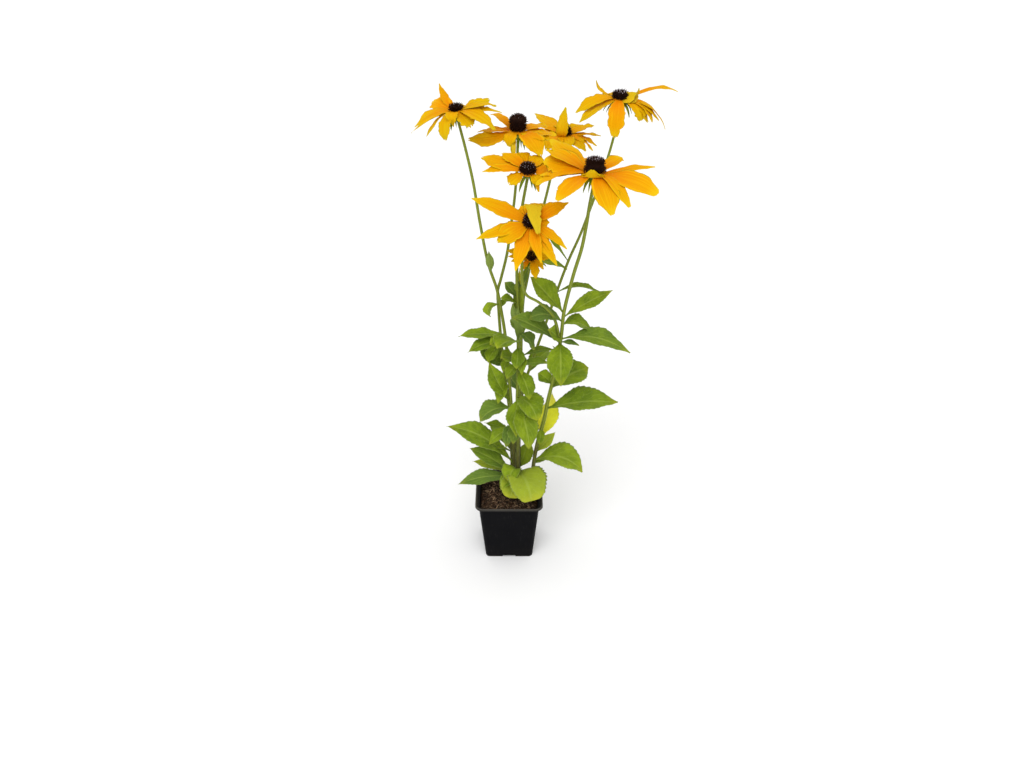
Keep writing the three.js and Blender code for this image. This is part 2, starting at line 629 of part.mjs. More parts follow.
group.add(named("pot", potGeometry(), materials.pot));
const bored = Object.entries(stems).map(([name, { radius }]) => (
  { curve: curves[name], radius: radius[0] }
));
group.add(named("soil", soilGeometry(bored), materials.soil));
Object.keys(stems).forEach((name) => {
  group.add(named(`stem_${name}`, leafyStem(name, curves), materials.green));
});
group.add(named("leaf_yellow", toGeometry(leafSolid(new THREE.Vector3(...yellowLeaf.root), [
  0, yellowLeaf.turn, yellowLeaf.reach, yellowLeaf.rise, yellowLeaf.lift, yellowLeaf.wide,
  yellowLeaf.roll, 0,
])), materials.withered));

Object.entries(flowers).forEach(([name, flower]) => {
  const bloom = new THREE.Group();
  bloom.add(named(`petals_${name}`, petalRing(flower, 40 + name.charCodeAt(0)), materials.yellow));
  bloom.add(named(`cone_${name}`, floretCone(flower.cone), materials.dark));
  bloom.applyMatrix4(flowerFrame(flower));
  group.add(bloom);
});

export default group;
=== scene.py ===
import math

import bmesh
import bpy
import numpy as np
from mathutils import Matrix


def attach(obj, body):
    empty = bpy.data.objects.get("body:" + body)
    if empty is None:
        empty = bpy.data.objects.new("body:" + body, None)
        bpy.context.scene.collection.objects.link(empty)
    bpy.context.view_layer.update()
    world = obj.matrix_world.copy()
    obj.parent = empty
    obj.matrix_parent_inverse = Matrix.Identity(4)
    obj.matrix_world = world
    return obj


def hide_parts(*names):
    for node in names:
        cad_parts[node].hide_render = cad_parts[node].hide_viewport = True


# A rudbeckia in flower in a square nursery pot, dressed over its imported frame.
# +X is to the right and -Y is the front. Sizes are in millimetres until a mesh is made.
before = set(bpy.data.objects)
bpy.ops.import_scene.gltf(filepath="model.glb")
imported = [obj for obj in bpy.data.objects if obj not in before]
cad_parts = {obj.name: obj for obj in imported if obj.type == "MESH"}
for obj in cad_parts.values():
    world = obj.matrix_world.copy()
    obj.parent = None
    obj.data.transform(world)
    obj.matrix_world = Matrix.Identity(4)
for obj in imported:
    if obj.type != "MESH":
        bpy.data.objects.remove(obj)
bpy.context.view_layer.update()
mm = 0.001
print("frame loaded")


# Numbers and vectors

seeds = {"cups": 10, "petals": 40, "stems": 70, "frays": 900, "yellowLeaf": 31, "yellowHairs": 9, "styles": 9}
drawStep, drawRange = 16807, 2147483647


def seededDraw(seed):  # gives the same draws on every run
    state = seed

    def draw(low, high):
        nonlocal state
        state = state * drawStep % drawRange
        return low + (high - low) * (state / drawRange)

    return draw


def unit(vectors):
    return vectors / np.linalg.norm(vectors, axis=-1, keepdims=True)


def smooth(values, low, high):
    t = np.clip((values - low) / (high - low), 0, 1)
    return t * t * (3 - 2 * t)


def groove(distance, width):
    return np.exp(-(distance / width) ** 2)


def curvePoints(route, t):  # a Catmull-Rom curve with half tension, and its direction
    points = np.array(route, float)
    last = len(points) - 1
    place = np.clip(np.asarray(t, float), 0, 1) * last
    first = np.minimum(place.astype(int), last - 1)
    w = (place - first)[:, None]
    padded = np.vstack([2 * points[0] - points[1], points, 2 * points[-1] - points[-2]])
    p0, p1, p2, p3 = (padded[first + k] for k in range(4))
    t1, t2 = 0.5 * (p2 - p0), 0.5 * (p3 - p1)
    c2 = 3 * (p2 - p1) - 2 * t1 - t2
    c3 = 2 * (p1 - p2) + t1 + t2
    return p1 + t1 * w + c2 * w**2 + c3 * w**3, unit(t1 + 2 * c2 * w + 3 * c3 * w**2)


def pointAtHeight(route, height):  # found by halving the route again and again
    low, high = 0.0, 1.0
    for _ in range(30):
        middle = (low + high) / 2
        if curvePoints(route, [middle])[0][0, 2] < height:
            low = middle
        else:
            high = middle
    return curvePoints(route, [low])[0][0]


# Meshes: closed skins over stacks of rings, with the values that the materials read

valueNames = ("across", "along", "side", "tint", "fuzz")


def newPile():  # what one piece's mesh is gathered in
    return {"points": [], "faces": [], "values": [], "slots": [], "count": 0}


def spreadValues(rings, *parts):  # one value of each name for every point of the rings
    return np.stack([np.broadcast_to(part, rings.shape[:2]) for part in parts], -1)


def addSkin(pile, rings, values, slot=0):  # joins ring to ring, and closes both ends
    rows, around, _ = rings.shape
    start = pile["count"]
    pile["points"].append(rings.reshape(-1, 3))
    pile["values"].append(np.broadcast_to(values, (rows, around, len(valueNames))).reshape(rows * around, -1))
    pile["count"] += rows * around
    r, c = np.meshgrid(np.arange(rows - 1), np.arange(around), indexing="ij")
    after = (c + 1) % around
    quads = np.stack([r * around + c, r * around + after, (r + 1) * around + after, (r + 1) * around + c], -1)
    pile["faces"] += (quads.reshape(-1, 4) + start).tolist()
    pile["faces"].append([start + k for k in reversed(range(around))])
    pile["faces"].append([start + (rows - 1) * around + k for k in range(around)])
    pile["slots"] += [slot] * ((rows - 1) * around + 2)


def addPiece(name, data):
    piece = bpy.data.objects.new(name, data)
    bpy.context.scene.collection.objects.link(piece)
    return piece


def makePiece(name, pile, materials):  # from here on sizes are in metres
    mesh = bpy.data.meshes.new(name)
    mesh.from_pydata((np.concatenate(pile["points"]) * mm).tolist(), [], pile["faces"])
    values = np.concatenate(pile["values"]).astype(np.float32)
    for place, title in enumerate(valueNames):
        attribute = mesh.attributes.new(title, "FLOAT", "POINT")
        attribute.data.foreach_set("value", np.ascontiguousarray(values[:, place]))
    mesh.polygons.foreach_set("material_index", pile["slots"])
    for material in materials:
        mesh.materials.append(material)
    work = bmesh.new()
    work.from_mesh(mesh)
    bmesh.ops.remove_doubles(work, verts=work.verts, dist=1e-7)  # closes the poles
    bmesh.ops.triangulate(work, faces=[face for face in work.faces if len(face.verts) > 4])
    work.to_mesh(mesh)
    work.free()
    mesh.shade_smooth()
    return addPiece(name, mesh)


def settle(piece, node):  # stands the piece in for the node's solid
    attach(piece, "root")
    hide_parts(node)


def bakeModifiers(piece):  # keeps what the modifiers make as the plain mesh
    made = bpy.data.meshes.new_from_object(piece.evaluated_get(bpy.context.evaluated_depsgraph_get()))
    piece.modifiers.clear()
    made.name = piece.name
    piece.data = made


def grow(piece, tree, settings):  # runs a tree of geometry nodes
    modifier = piece.modifiers.new("grow", "NODES")
    modifier.node_group = tree
    for item in tree.interface.items_tree:
        if item.in_out == "INPUT" and item.name in settings:
            modifier[item.identifier] = settings[item.name]
    bakeModifiers(piece)


# Nodes

class Wire:  # an output that grows Math nodes when it is added, multiplied and so on
    def __init__(self, socket):
        self.socket = socket
        self.tree = socket.id_data

    def step(self, operation, *others):
        made = addNode(self.tree, "ShaderNodeMath", dict(enumerate((self, *others))), operation=operation)
        return output(made)

    def __add__(self, other):
        return self.step("ADD", other)

    def __sub__(self, other):
        return self.step("SUBTRACT", other)

    def __mul__(self, other):
        return self.step("MULTIPLY", other)

    def __truediv__(self, other):
        return self.step("DIVIDE", other)

    def ramp(self, low, high, start=0.0, end=1.0):
        inputs = dict(enumerate((self, low, high, start, end)))
        return output(addNode(self.tree, "ShaderNodeMapRange", inputs, interpolation_type="SMOOTHSTEP"))


def addNode(tree, kind, inputs=None, **settings):
    made = tree.nodes.new(kind)
    for name, value in settings.items():
        setattr(made, name, value)
    for key, value in (inputs or {}).items():
        if isinstance(value, Wire):
            tree.links.new(value.socket, made.inputs[key])
        else:
            made.inputs[key].default_value = value
    return made


def output(made, key=0):
    return Wire(made.outputs[key])


def colour(*channels):
    return (*channels, 1.0)


def mixColour(amount, first, second):  # sockets 6, 7 and 2 are the Mix node's colours
    inputs = {0: amount, 6: first, 7: second}
    return output(addNode(amount.tree, "ShaderNodeMix", inputs, data_type="RGBA"), 2)


number, whole, vector = "NodeSocketFloat", "NodeSocketInt", "NodeSocketVector"
shape, finish = "NodeSocketGeometry", "NodeSocketMaterial"


def newTree(name, kind, inputs, outputs):  # a node group; an input's value is a number or a kind of socket
    tree = bpy.data.node_groups.new(name, kind)
    for title, value in inputs.items():
        socketKind = {float: number, int: whole}.get(type(value), value)
        socket = tree.interface.new_socket(name=title, in_out="INPUT", socket_type=socketKind)
        if socketKind != value:
            socket.default_value = value
    for title, socketKind in outputs.items():
        tree.interface.new_socket(name=title, in_out="OUTPUT", socket_type=socketKind)
    start = tree.nodes.new("NodeGroupInput")
    return tree, {socket.name: Wire(socket) for socket in start.outputs if socket.name}


def endTree(tree, results):
    addNode(tree, "NodeGroupOutput", results)


# Finishes

def makeMottle():  # broad and fine patches and small specks, for every surface
    inputs = {"Place": vector, "Broad Size": 12.0, "Fine Size": 1.5}
    outputs = {"Broad": number, "Fine": number, "Speck": number}
    tree, given = newTree("mottle", "ShaderNodeTree", inputs, outputs)

    def patches(size, detail):
        scale = size.step("POWER", -1.0) * (1 / mm)
        inputs = {"Vector": given["Place"], "Scale": scale, "Detail": detail, "Roughness": 0.6}
        return output(addNode(tree, "ShaderNodeTexNoise", inputs), "Fac")

    broad = patches(given["Broad Size"], 3.0).ramp(0.3, 0.7)
    fine = patches(given["Fine Size"], 4.0).ramp(0.28, 0.72)
    speck = patches(given["Fine Size"] * 0.45, 1.0).ramp(0.6, 0.72)
    endTree(tree, {"Broad": broad, "Fine": fine, "Speck": speck})
    return tree


def makeVeins():  # a midrib and side veins that sweep towards the tip
    inputs = {"Across": 0.0, "Along": 0.0, "Pairs": 8.0, "Sweep": 2.2, "Width": 0.1, "Waver": 0.0}
    tree, given = newTree("bladeVeins", "ShaderNodeTree", inputs, {"Midrib": number, "Vein": number})
    edge = given["Across"].step("ABSOLUTE")
    midrib = edge.ramp(0.03, 0.11, 1.0, 0.0)
    line = given["Along"] * given["Pairs"] - edge.step("POWER", 0.8) * given["Sweep"] + given["Waver"]
    apart = line.step("PINGPONG", 0.5)
    vein = apart.ramp(0.0, given["Width"], 1.0, 0.0) * edge.ramp(0.55, 1.0, 1.0, 0.25)
    endTree(tree, {"Midrib": midrib, "Vein": vein})
    return tree


mottle = makeMottle()
bladeVeins = makeVeins()


# Each look has its roughness, gloss, patches (broad and fine size) and bump (strength and depth).
def newFinish(name, look):  # a material, its tree, and its broad and fine patches and specks
    material = bpy.data.materials.new(name)
    material.use_nodes = True
    tree = material.node_tree
    shader = tree.nodes["Principled BSDF"]
    shader.inputs["Roughness"].default_value = look["rough"]
    shader.inputs["Specular IOR Level"].default_value = look["gloss"]
    shader.inputs["Sheen Weight"].default_value = look.get("sheen", 0.0)
    broadSize, fineSize = look["patches"]
    inputs = {"Place": objectPlace(tree), "Broad Size": broadSize, "Fine Size": fineSize}
    made = addNode(tree, "ShaderNodeGroup", inputs, node_tree=mottle)
    return material, tree, *(output(made, key) for key in ("Broad", "Fine", "Speck"))


def objectPlace(tree):
    return output(addNode(tree, "ShaderNodeTexCoord"), "Object")


def objectHeight(tree):
    return output(addNode(tree, "ShaderNodeSeparateXYZ", {0: objectPlace(tree)}), "Z")


def readValue(tree, name):
    return output(addNode(tree, "ShaderNodeAttribute", attribute_name=name), "Fac")


def readVeins(tree, waver, pairs, sweep, width):
    inputs = {"Across": readValue(tree, "across"), "Along": readValue(tree, "along"), "Waver": waver,
              "Pairs": pairs, "Sweep": sweep, "Width": width}
    made = addNode(tree, "ShaderNodeGroup", inputs, node_tree=bladeVeins)
    return output(made, "Midrib"), output(made, "Vein")


def endFinish(material, look, base, height, roughness=None):
    tree = material.node_tree
    shader = tree.nodes["Principled BSDF"]
    strength, depth = look["bump"]
    inputs = {"Height": height, "Strength": strength, "Distance": depth * mm}
    bump = output(addNode(tree, "ShaderNodeBump", inputs), "Normal")
    for title, value in (("Base Color", base), ("Normal", bump), ("Roughness", roughness)):
        if value is not None:
            tree.links.new(value.socket, shader.inputs[title])
    return material


leafLook = {
    "rough": 0.6, "roughRange": (0.52, 0.68), "gloss": 0.1, "sheen": 0.02,
    "patches": (14.0, 1.3), "bump": (0.55, 0.45), "veins": (6.0, 2.8, 0.1),  # pairs, sweep and width
    "deep": colour(0.085, 0.15, 0.003), "bright": colour(0.255, 0.36, 0.012),
    "cool": colour(0.1, 0.175, 0.032), "pale": colour(0.44, 0.5, 0.045), "vein": colour(0.4, 0.5, 0.09),
    "under": colour(0.22, 0.3, 0.065), "tip": colour(0.58, 0.52, 0.03), "margin": colour(0.36, 0.46, 0.12),
}
witheredLook = {
    **leafLook,
    "deep": colour(0.6, 0.58, 0.015), "bright": colour(0.85, 0.84, 0.03),
    "cool": colour(0.5, 0.55, 0.03), "pale": colour(0.88, 0.87, 0.05), "vein": colour(0.8, 0.82, 0.16),
    "under": colour(0.78, 0.78, 0.06), "tip": colour(0.72, 0.66, 0.08), "margin": colour(0.8, 0.8, 0.1),
}


def makeLeafFinish(name, look):  # tint is below 0 on dark leaves and near 1 on young pale ones
    material, tree, broad, fine, speck = newFinish(name, look)
    midrib, vein = readVeins(tree, broad * 0.5, *look["veins"])
    tint, side = readValue(tree, "tint"), readValue(tree, "side")
    across, along = readValue(tree, "across").step("ABSOLUTE"), readValue(tree, "along")
    paintedLitHalf = readValue(tree, "across").ramp(-0.12, 0.12, 0.0, 0.2)  # painted light: one half of a folded blade is painted lighter, as if lit
    base = mixColour(broad * 0.55 + fine * 0.3 + paintedLitHalf, look["deep"], look["bright"])
    base = mixColour(tint.ramp(-0.4, 0.0, 0.8, 0.0), base, look["cool"])
    base = mixColour(tint.ramp(0.0, 1.0, 0.0, 0.75), base, look["pale"])
    base = mixColour(across.ramp(0.88, 1.0) * 0.6, base, look["margin"])
    yellowed = tint.ramp(0.26, 0.4) * tint.ramp(0.45, 0.6, 1.0, 0.0)  # only leaves between young and old
    ends = along.ramp(0.8, 1.0) * 0.3 + along.ramp(0.62, 1.0) * yellowed
    base = mixColour(ends * fine.ramp(0.0, 0.6, 0.5, 1.0), base, look["tip"])
    base = mixColour((midrib * 0.36).step("MAXIMUM", vein * 0.24), base, look["vein"])
    base = mixColour(side.ramp(-0.1, 0.1, 0.75, 0.0), base, look["under"])
    base = mixColour(speck * 0.12, base, look["vein"])
    height = fine * 0.6 - vein * 0.5 - midrib * 0.7 + speck * 0.2
    return endFinish(material, look, base, height, broad.ramp(0.0, 1.0, *look["roughRange"]))


stemLook = {
    "rough": 0.55, "gloss": 0.12, "sheen": 0.02, "patches": (22.0, 1.0), "bump": (0.5, 0.3),
    "green": colour(0.165, 0.215, 0.016), "pale": colour(0.36, 0.4, 0.06),
    "brown": colour(0.05, 0.026, 0.018), "stain": (150.0, 270.0), "stainWaver": 60,  # brown up to here
}


def makeStemFinish(look):
    material, tree, broad, fine, speck = newFinish("hairyStem", look)
    rib = readValue(tree, "across").ramp(0.1, 1.0)
    base = mixColour(rib * 0.55 + fine * 0.2, look["green"], look["pale"])
    low, high = (height * mm for height in look["stain"])
    stain = (objectHeight(tree) + broad * (look["stainWaver"] * mm)).ramp(low, high, 0.85, 0.0)
    base = mixColour(stain * fine.ramp(0.0, 0.8, 0.6, 1.0), base, look["brown"])
    base = mixColour(speck * 0.25, base, look["pale"])
    return endFinish(material, look, base, fine + speck)


petalLook = {
    "rough": 0.5, "roughRange": (0.4, 0.58), "gloss": 0.03, "patches": (9.0, 0.9), "bump": (0.55, 0.4),
    "lines": (3.2, 11.0),  # broad and thin ones across a petal
    "gold": colour(0.81, 0.375, 0.001), "lemon": colour(0.69, 0.455, 0.002), "base": colour(0.77, 0.2, 0.0),
    "streak": colour(0.64, 0.23, 0.0), "paintedHighlight": colour(0.88, 0.53, 0.006), "under": colour(0.62, 0.39, 0.003),
    "tip": colour(0.8, 0.6, 0.01), "dry": colour(0.5, 0.42, 0.01), "fold": colour(0.7, 0.58, 0.035),
}


def makePetalFinish(look):  # tint is near 1 on golden petals, below 0 on lemon ones, below -1.2 on folds
    material, tree, broad, fine, speck = newFinish("satinPetal", look)
    across, along = readValue(tree, "across"), readValue(tree, "along")
    tint, side = readValue(tree, "tint"), readValue(tree, "side")

    def lines(pitch):
        spread = {0: across * pitch, 1: along * 1.3, 2: tint * 7.0}
        place = output(addNode(tree, "ShaderNodeCombineXYZ", spread))
        inputs = {"Vector": place, "Scale": 1.0, "Detail": 2.0, "Roughness": 0.5}
        return output(addNode(tree, "ShaderNodeTexNoise", inputs), "Fac")

    coarse, thin = (lines(pitch) for pitch in look["lines"])
    edge = across.step("ABSOLUTE")
    pleat = (edge - 0.36).step("ABSOLUTE").ramp(0.0, 0.13, 1.0, 0.0)
    base = mixColour((tint + (coarse - 0.5) * 1.6).ramp(-1.0, 1.0), look["lemon"], look["gold"])
    base = mixColour(along.ramp(0.0, 0.9, 1.0, 0.0) * tint.ramp(-1.4, 0.8, 0.25, 0.95), base, look["base"])
    streaks = (thin.ramp(0.46, 0.62) * 0.4 + pleat * 0.12) * tint.ramp(-0.4, 1.0, 1.0, 0.4)
    base = mixColour(streaks, base, look["streak"])
    # painted highlight: thin lighter streaks along the petal
    base = mixColour(thin.ramp(0.3, 0.46, 0.45, 0.0), base, look["paintedHighlight"])
    ends = along.ramp(0.78, 1.0) * 0.7 + edge.ramp(0.72, 1.0) * 0.55
    tip = mixColour(tint.ramp(-0.7, 0.2, 0.85, 0.0), look["tip"], look["dry"])  # duller on the lemon petals
    base = mixColour(ends.step("MINIMUM", 1.0) * fine.ramp(0.0, 0.7, 0.45, 1.0), base, tip)
    base = mixColour(side.ramp(-0.1, 0.1, 0.6, 0.0), base, look["under"])
    base = mixColour(tint.ramp(-2.0, -1.2, 0.9, 0.0) * fine.ramp(0.0, 1.0, 0.75, 1.0), base, look["fold"])
    height = thin * -0.8 + coarse * 0.7 + fine * 0.15 - speck * 0.05 + broad * 0.3
    return endFinish(material, look, base, height, thin.ramp(0.3, 0.7, *look["roughRange"]))


coneLook = {
    "rough": 0.7, "gloss": 0.06, "patches": (5.0, 0.5), "bump": (0.4, 0.2),
    "deep": colour(0.006, 0.0018, 0.0012), "warm": colour(0.028, 0.0085, 0.004),
    "tip": colour(0.055, 0.022, 0.012), "style": colour(0.62, 0.55, 0.62), "amber": colour(0.4, 0.19, 0.02),
}


def makeConeFinish(name, look, root, body, tip):  # the last three are names of colours
    material, tree, broad, fine, _ = newFinish(name, look)
    tint, along = readValue(tree, "tint"), readValue(tree, "along")
    base = mixColour(broad * 0.5 + tint * 0.5, look[root], look[body])
    base = mixColour(along.ramp(0.35, 1.0) * tint.ramp(0.0, 1.0, 0.35, 1.0), base, look[tip])
    return endFinish(material, look, base, fine)


hairLook = {
    "rough": 0.5, "gloss": 0.2, "patches": (20.0, 2.0), "bump": (0.1, 0.05),
    "root": colour(0.32, 0.4, 0.14), "tip": colour(0.62, 0.66, 0.45),
}


def makeHairFinish(look):
    material, tree, _, fine, _ = newFinish("plantHair", look)
    base = mixColour(readValue(tree, "along"), look["root"], look["tip"])
    base = mixColour(fine * 0.3, base, look["tip"])
    return endFinish(material, look, base, fine)


potLook = {
    "rough": 0.45, "roughRange": (0.42, 0.6), "gloss": 0.045, "patches": (26.0, 0.8), "bump": (0.35, 0.12),
    "black": colour(0.0032, 0.0032, 0.0041), "scuffAndHighlight": colour(0.09, 0.083, 0.072),
    "dullGrey": colour(0.014, 0.012, 0.01), "lighterHeights": (30, 80, 92),
    "scratches": (900.0, 900.0, 60.0),  # upright, and this many to a metre
}


def makePotFinish(look):  # tint is 1 on the edges that wear; on the rim's lip and band it also paints a highlight
    material, tree, broad, fine, speck = newFinish("matteBlackPlastic", look)
    level, edge = objectHeight(tree), readValue(tree, "tint")
    inputs = {"Vector": objectPlace(tree), "Scale": look["scratches"]}
    stretched = output(addNode(tree, "ShaderNodeMapping", inputs))
    noise = addNode(tree, "ShaderNodeTexNoise", {"Vector": stretched, "Scale": 1.0, "Detail": 2.0})
    scratch = output(noise, "Fac").ramp(0.62, 0.72)
    # scuffs on worn edges, and a painted highlight along the rim's lip and band
    base = mixColour(edge * fine.ramp(0.0, 0.8, 0.55, 1.0) + scratch * 0.08, look["black"], look["scuffAndHighlight"])
    foot, low, high = (height * mm for height in look["lighterHeights"])
    # lighter towards the foot and just under the rim, and in specks
    lighterFootAndTop = level.ramp(0.0, foot, 0.35, 0.0) + level.ramp(low, high, 0.0, 0.16)
    base = mixColour(lighterFootAndTop * broad + speck * 0.1, base, look["dullGrey"])
    return endFinish(material, look, base, fine + scratch * 0.4, broad.ramp(0.0, 1.0, *look["roughRange"]))


soilLook = {
    "rough": 0.95, "gloss": 0.15, "patches": (5.0, 0.7), "bump": (0.9, 0.6),
    "deep": colour(0.003, 0.0013, 0.0008), "brown": colour(0.066, 0.024, 0.009),
    "fibre": colour(0.85, 0.56, 0.34),
}


def makeSoilFinish(name, look, first, second, third):  # the last three are names of colours
    material, tree, broad, fine, speck = newFinish(name, look)
    base = mixColour(broad.ramp(0.25, 1.0) * 0.5 + fine.ramp(0.4, 1.0) * 0.5, look[first], look[second])
    base = mixColour(readValue(tree, "tint").ramp(0.1, 1.0) * 0.75 + speck * 0.3, base, look[third])
    return endFinish(material, look, base, fine + broad * 0.5)


leafFinish = makeLeafFinish("hairyLeaf", leafLook)
witheredFinish = makeLeafFinish("witheredLeaf", witheredLook)
stemFinish = makeStemFinish(stemLook)
petalFinish = makePetalFinish(petalLook)
coneFinish = makeConeFinish("darkFloret", coneLook, "deep", "warm", "tip")
styleFinish = makeConeFinish("greyStyle", coneLook, "warm", "tip", "style")
amberFinish = makeConeFinish("amberStyle", coneLook, "warm", "tip", "amber")
hairFinish = makeHairFinish(hairLook)
potFinish = makePotFinish(potLook)
soilFinish = makeSoilFinish("peat", soilLook, "deep", "brown", "fibre")
fibreFinish = makeSoilFinish("peatFibre", soilLook, "brown", "fibre", "fibre")
print("finishes made")


# Repeats: trees of geometry nodes

def scatter(tree, skin, amount, seed):  # points on a skin, so many to a square millimetre
    inputs = {"Mesh": skin, "Density": amount * (1 / mm**2), "Seed": seed}
    return addNode(tree, "GeometryNodeDistributePointsOnFaces", inputs, distribute_method="RANDOM")


def readFuzz(tree):
    made = addNode(tree, "GeometryNodeInputNamedAttribute", {"Name": "fuzz"}, data_type="FLOAT")
    return output(made, "Attribute")


def keepValue(tree, geometry, name, value, domain="POINT"):
    inputs = {"Geometry": geometry, "Name": name, "Value": value}
    made = addNode(tree, "GeometryNodeStoreNamedAttribute", inputs, data_type="FLOAT", domain=domain)
    return output(made, "Geometry")


def randomBetween(tree, low, high, seed):
    made = addNode(tree, "FunctionNodeRandomValue", {2: low, 3: high, "Seed": seed}, data_type="FLOAT")
    return output(made, 1)


def randomVector(tree, low, high, seed):
    made = addNode(tree, "FunctionNodeRandomValue", {0: low, 1: high, "Seed": seed}, data_type="FLOAT_VECTOR")
    return output(made)


def leanFrom(tree, direction, low, spread, seed):  # turns each direction a little at random
    inputs = {0: randomVector(tree, (-1.0, -1.0, low), (1.0, 1.0, 1.0), seed), "Scale": spread}
    lean = output(addNode(tree, "ShaderNodeVectorMath", inputs, operation="SCALE"))
    return output(addNode(tree, "ShaderNodeVectorMath", {0: direction, 1: lean}, operation="ADD"))


def makeSpike(tree, sides, wide, long, tipShare):  # a small cone along +Z with its length as a value
    width = wide * 0.5
    inputs = {"Vertices": sides, "Radius Top": width * tipShare, "Radius Bottom": width, "Depth": long}
    made = addNode(tree, "GeometryNodeMeshCone", inputs, fill_type="NGON")
    place = output(addNode(tree, "GeometryNodeInputPosition"))
    height = output(addNode(tree, "ShaderNodeSeparateXYZ", {0: place}), "Z")
    return keepValue(tree, output(made, "Mesh"), "along", height / long)


def plantSpikes(tree, points, spike, direction, size, tint, material):
    turn = output(addNode(tree, "FunctionNodeAlignRotationToVector", {"Vector": direction}, axis="Z"))
    inputs = {"Points": points, "Instance": spike, "Rotation": turn, "Scale": size}
    planted = addNode(tree, "GeometryNodeInstanceOnPoints", inputs)
    kept = keepValue(tree, output(planted), "tint", tint, "INSTANCE")
    real = output(addNode(tree, "GeometryNodeRealizeInstances", {"Geometry": kept}))
    return output(addNode(tree, "GeometryNodeSetMaterial", {"Geometry": real, "Material": material}))


def joinParts(tree, *parts):
    joined = tree.nodes.new("GeometryNodeJoinGeometry")
    for part in parts:
        tree.links.new(part.socket, joined.inputs[0])
    return output(joined)


def makeHairTree():  # hairs stand on the skin, more where its fuzz is higher
    inputs = {"Skin": shape, "Density": 0.4, "Length": 1.0, "Width": 0.1, "Spread": 0.5, "Seed": 1,
              "Finish": finish}
    tree, given = newTree("hairCover", "GeometryNodeTree", inputs, {"Hairy": shape})
    seed = given["Seed"]
    scattered = scatter(tree, given["Skin"], given["Density"] * readFuzz(tree), seed)
    spike = makeSpike(tree, 3, given["Width"] * mm, given["Length"] * mm, 0.0)
    direction = leanFrom(tree, output(scattered, "Normal"), -0.6, given["Spread"], seed)
    size = randomBetween(tree, 0.55, 1.25, seed)
    hairs = plantSpikes(tree, output(scattered, "Points"), spike, direction, size, size, given["Finish"])
    endTree(tree, {"Hairy": joinParts(tree, hairs, given["Skin"])})
    return tree


goldenTurn = math.radians(137.508)


def makeFloretTree():  # florets stand on a dome in a golden-angle spiral
    inputs = {"Dome": shape, "Count": 300, "Radius": 10.0, "Height": 10.0, "Level": 0.0, "Length": 1.6,
              "Width": 0.8, "Tip": 0.15, "From": -0.5, "To": 1.0, "Crown": 0.9, "Crowd": 1.25, "Round": 0.4,
              "Rise": 0.3, "Spread": 0.2, "Seed": 1, "Finish": finish}
    tree, given = newTree("floretSpiral", "GeometryNodeTree", inputs, {"Cone": shape})
    seed = given["Seed"]
    place = output(addNode(tree, "GeometryNodeInputIndex"))
    left = ((place + 0.5) / given["Count"]) * -1.0 + 1.0
    share = left.step("POWER", given["Crowd"]) * -1.0 + 1.0
    level = share * (given["To"] - given["From"]) + given["From"]  # below 0 the dome narrows to its foot
    over, under = level.step("MAXIMUM", 0.0) * (math.pi / 2), level.step("MINIMUM", 0.0)
    shoulder, side = (over.step(kind).step("POWER", given["Round"]) for kind in ("SINE", "COSINE"))
    around = side * (under.step("ABSOLUTE").step("POWER", 5.0) * -1.0 + 1.0)
    rise = shoulder * 0.58 + under * 0.8 + 0.42
    taper = (given["Crown"] - 1.0) * rise + 1.0
    out = around * taper * given["Radius"] * mm
    turn = place * goldenTurn
    cosine, sine = turn.step("COSINE"), turn.step("SINE")
    up = (rise * given["Height"] + given["Level"]) * mm
    at = output(addNode(tree, "ShaderNodeCombineXYZ", {0: cosine * out, 1: sine * out, 2: up}))
    spots = {"Count": given["Count"], "Position": at, "Radius": mm}
    points = output(addNode(tree, "GeometryNodePoints", spots))
    straight = output(addNode(tree, "ShaderNodeCombineXYZ",
                              {0: cosine * around, 1: sine * around, 2: level + given["Rise"]}))
    captured = addNode(tree, "GeometryNodeCaptureAttribute", {0: points})
    captured.capture_items.new("VECTOR", "Direction")
    direction = leanFrom(tree, straight, -1.0, given["Spread"], seed)
    tree.links.new(direction.socket, captured.inputs["Direction"])
    spike = makeSpike(tree, 5, given["Width"] * mm, given["Length"] * mm, given["Tip"])
    size, tint = (randomBetween(tree, low, high, seed) for low, high in ((0.7, 1.2), (0.0, 1.0)))
    points, direction = output(captured), output(captured, "Direction")
    florets = plantSpikes(tree, points, spike, direction, size, tint, given["Finish"])
    endTree(tree, {"Cone": joinParts(tree, florets, given["Dome"])})
    return tree


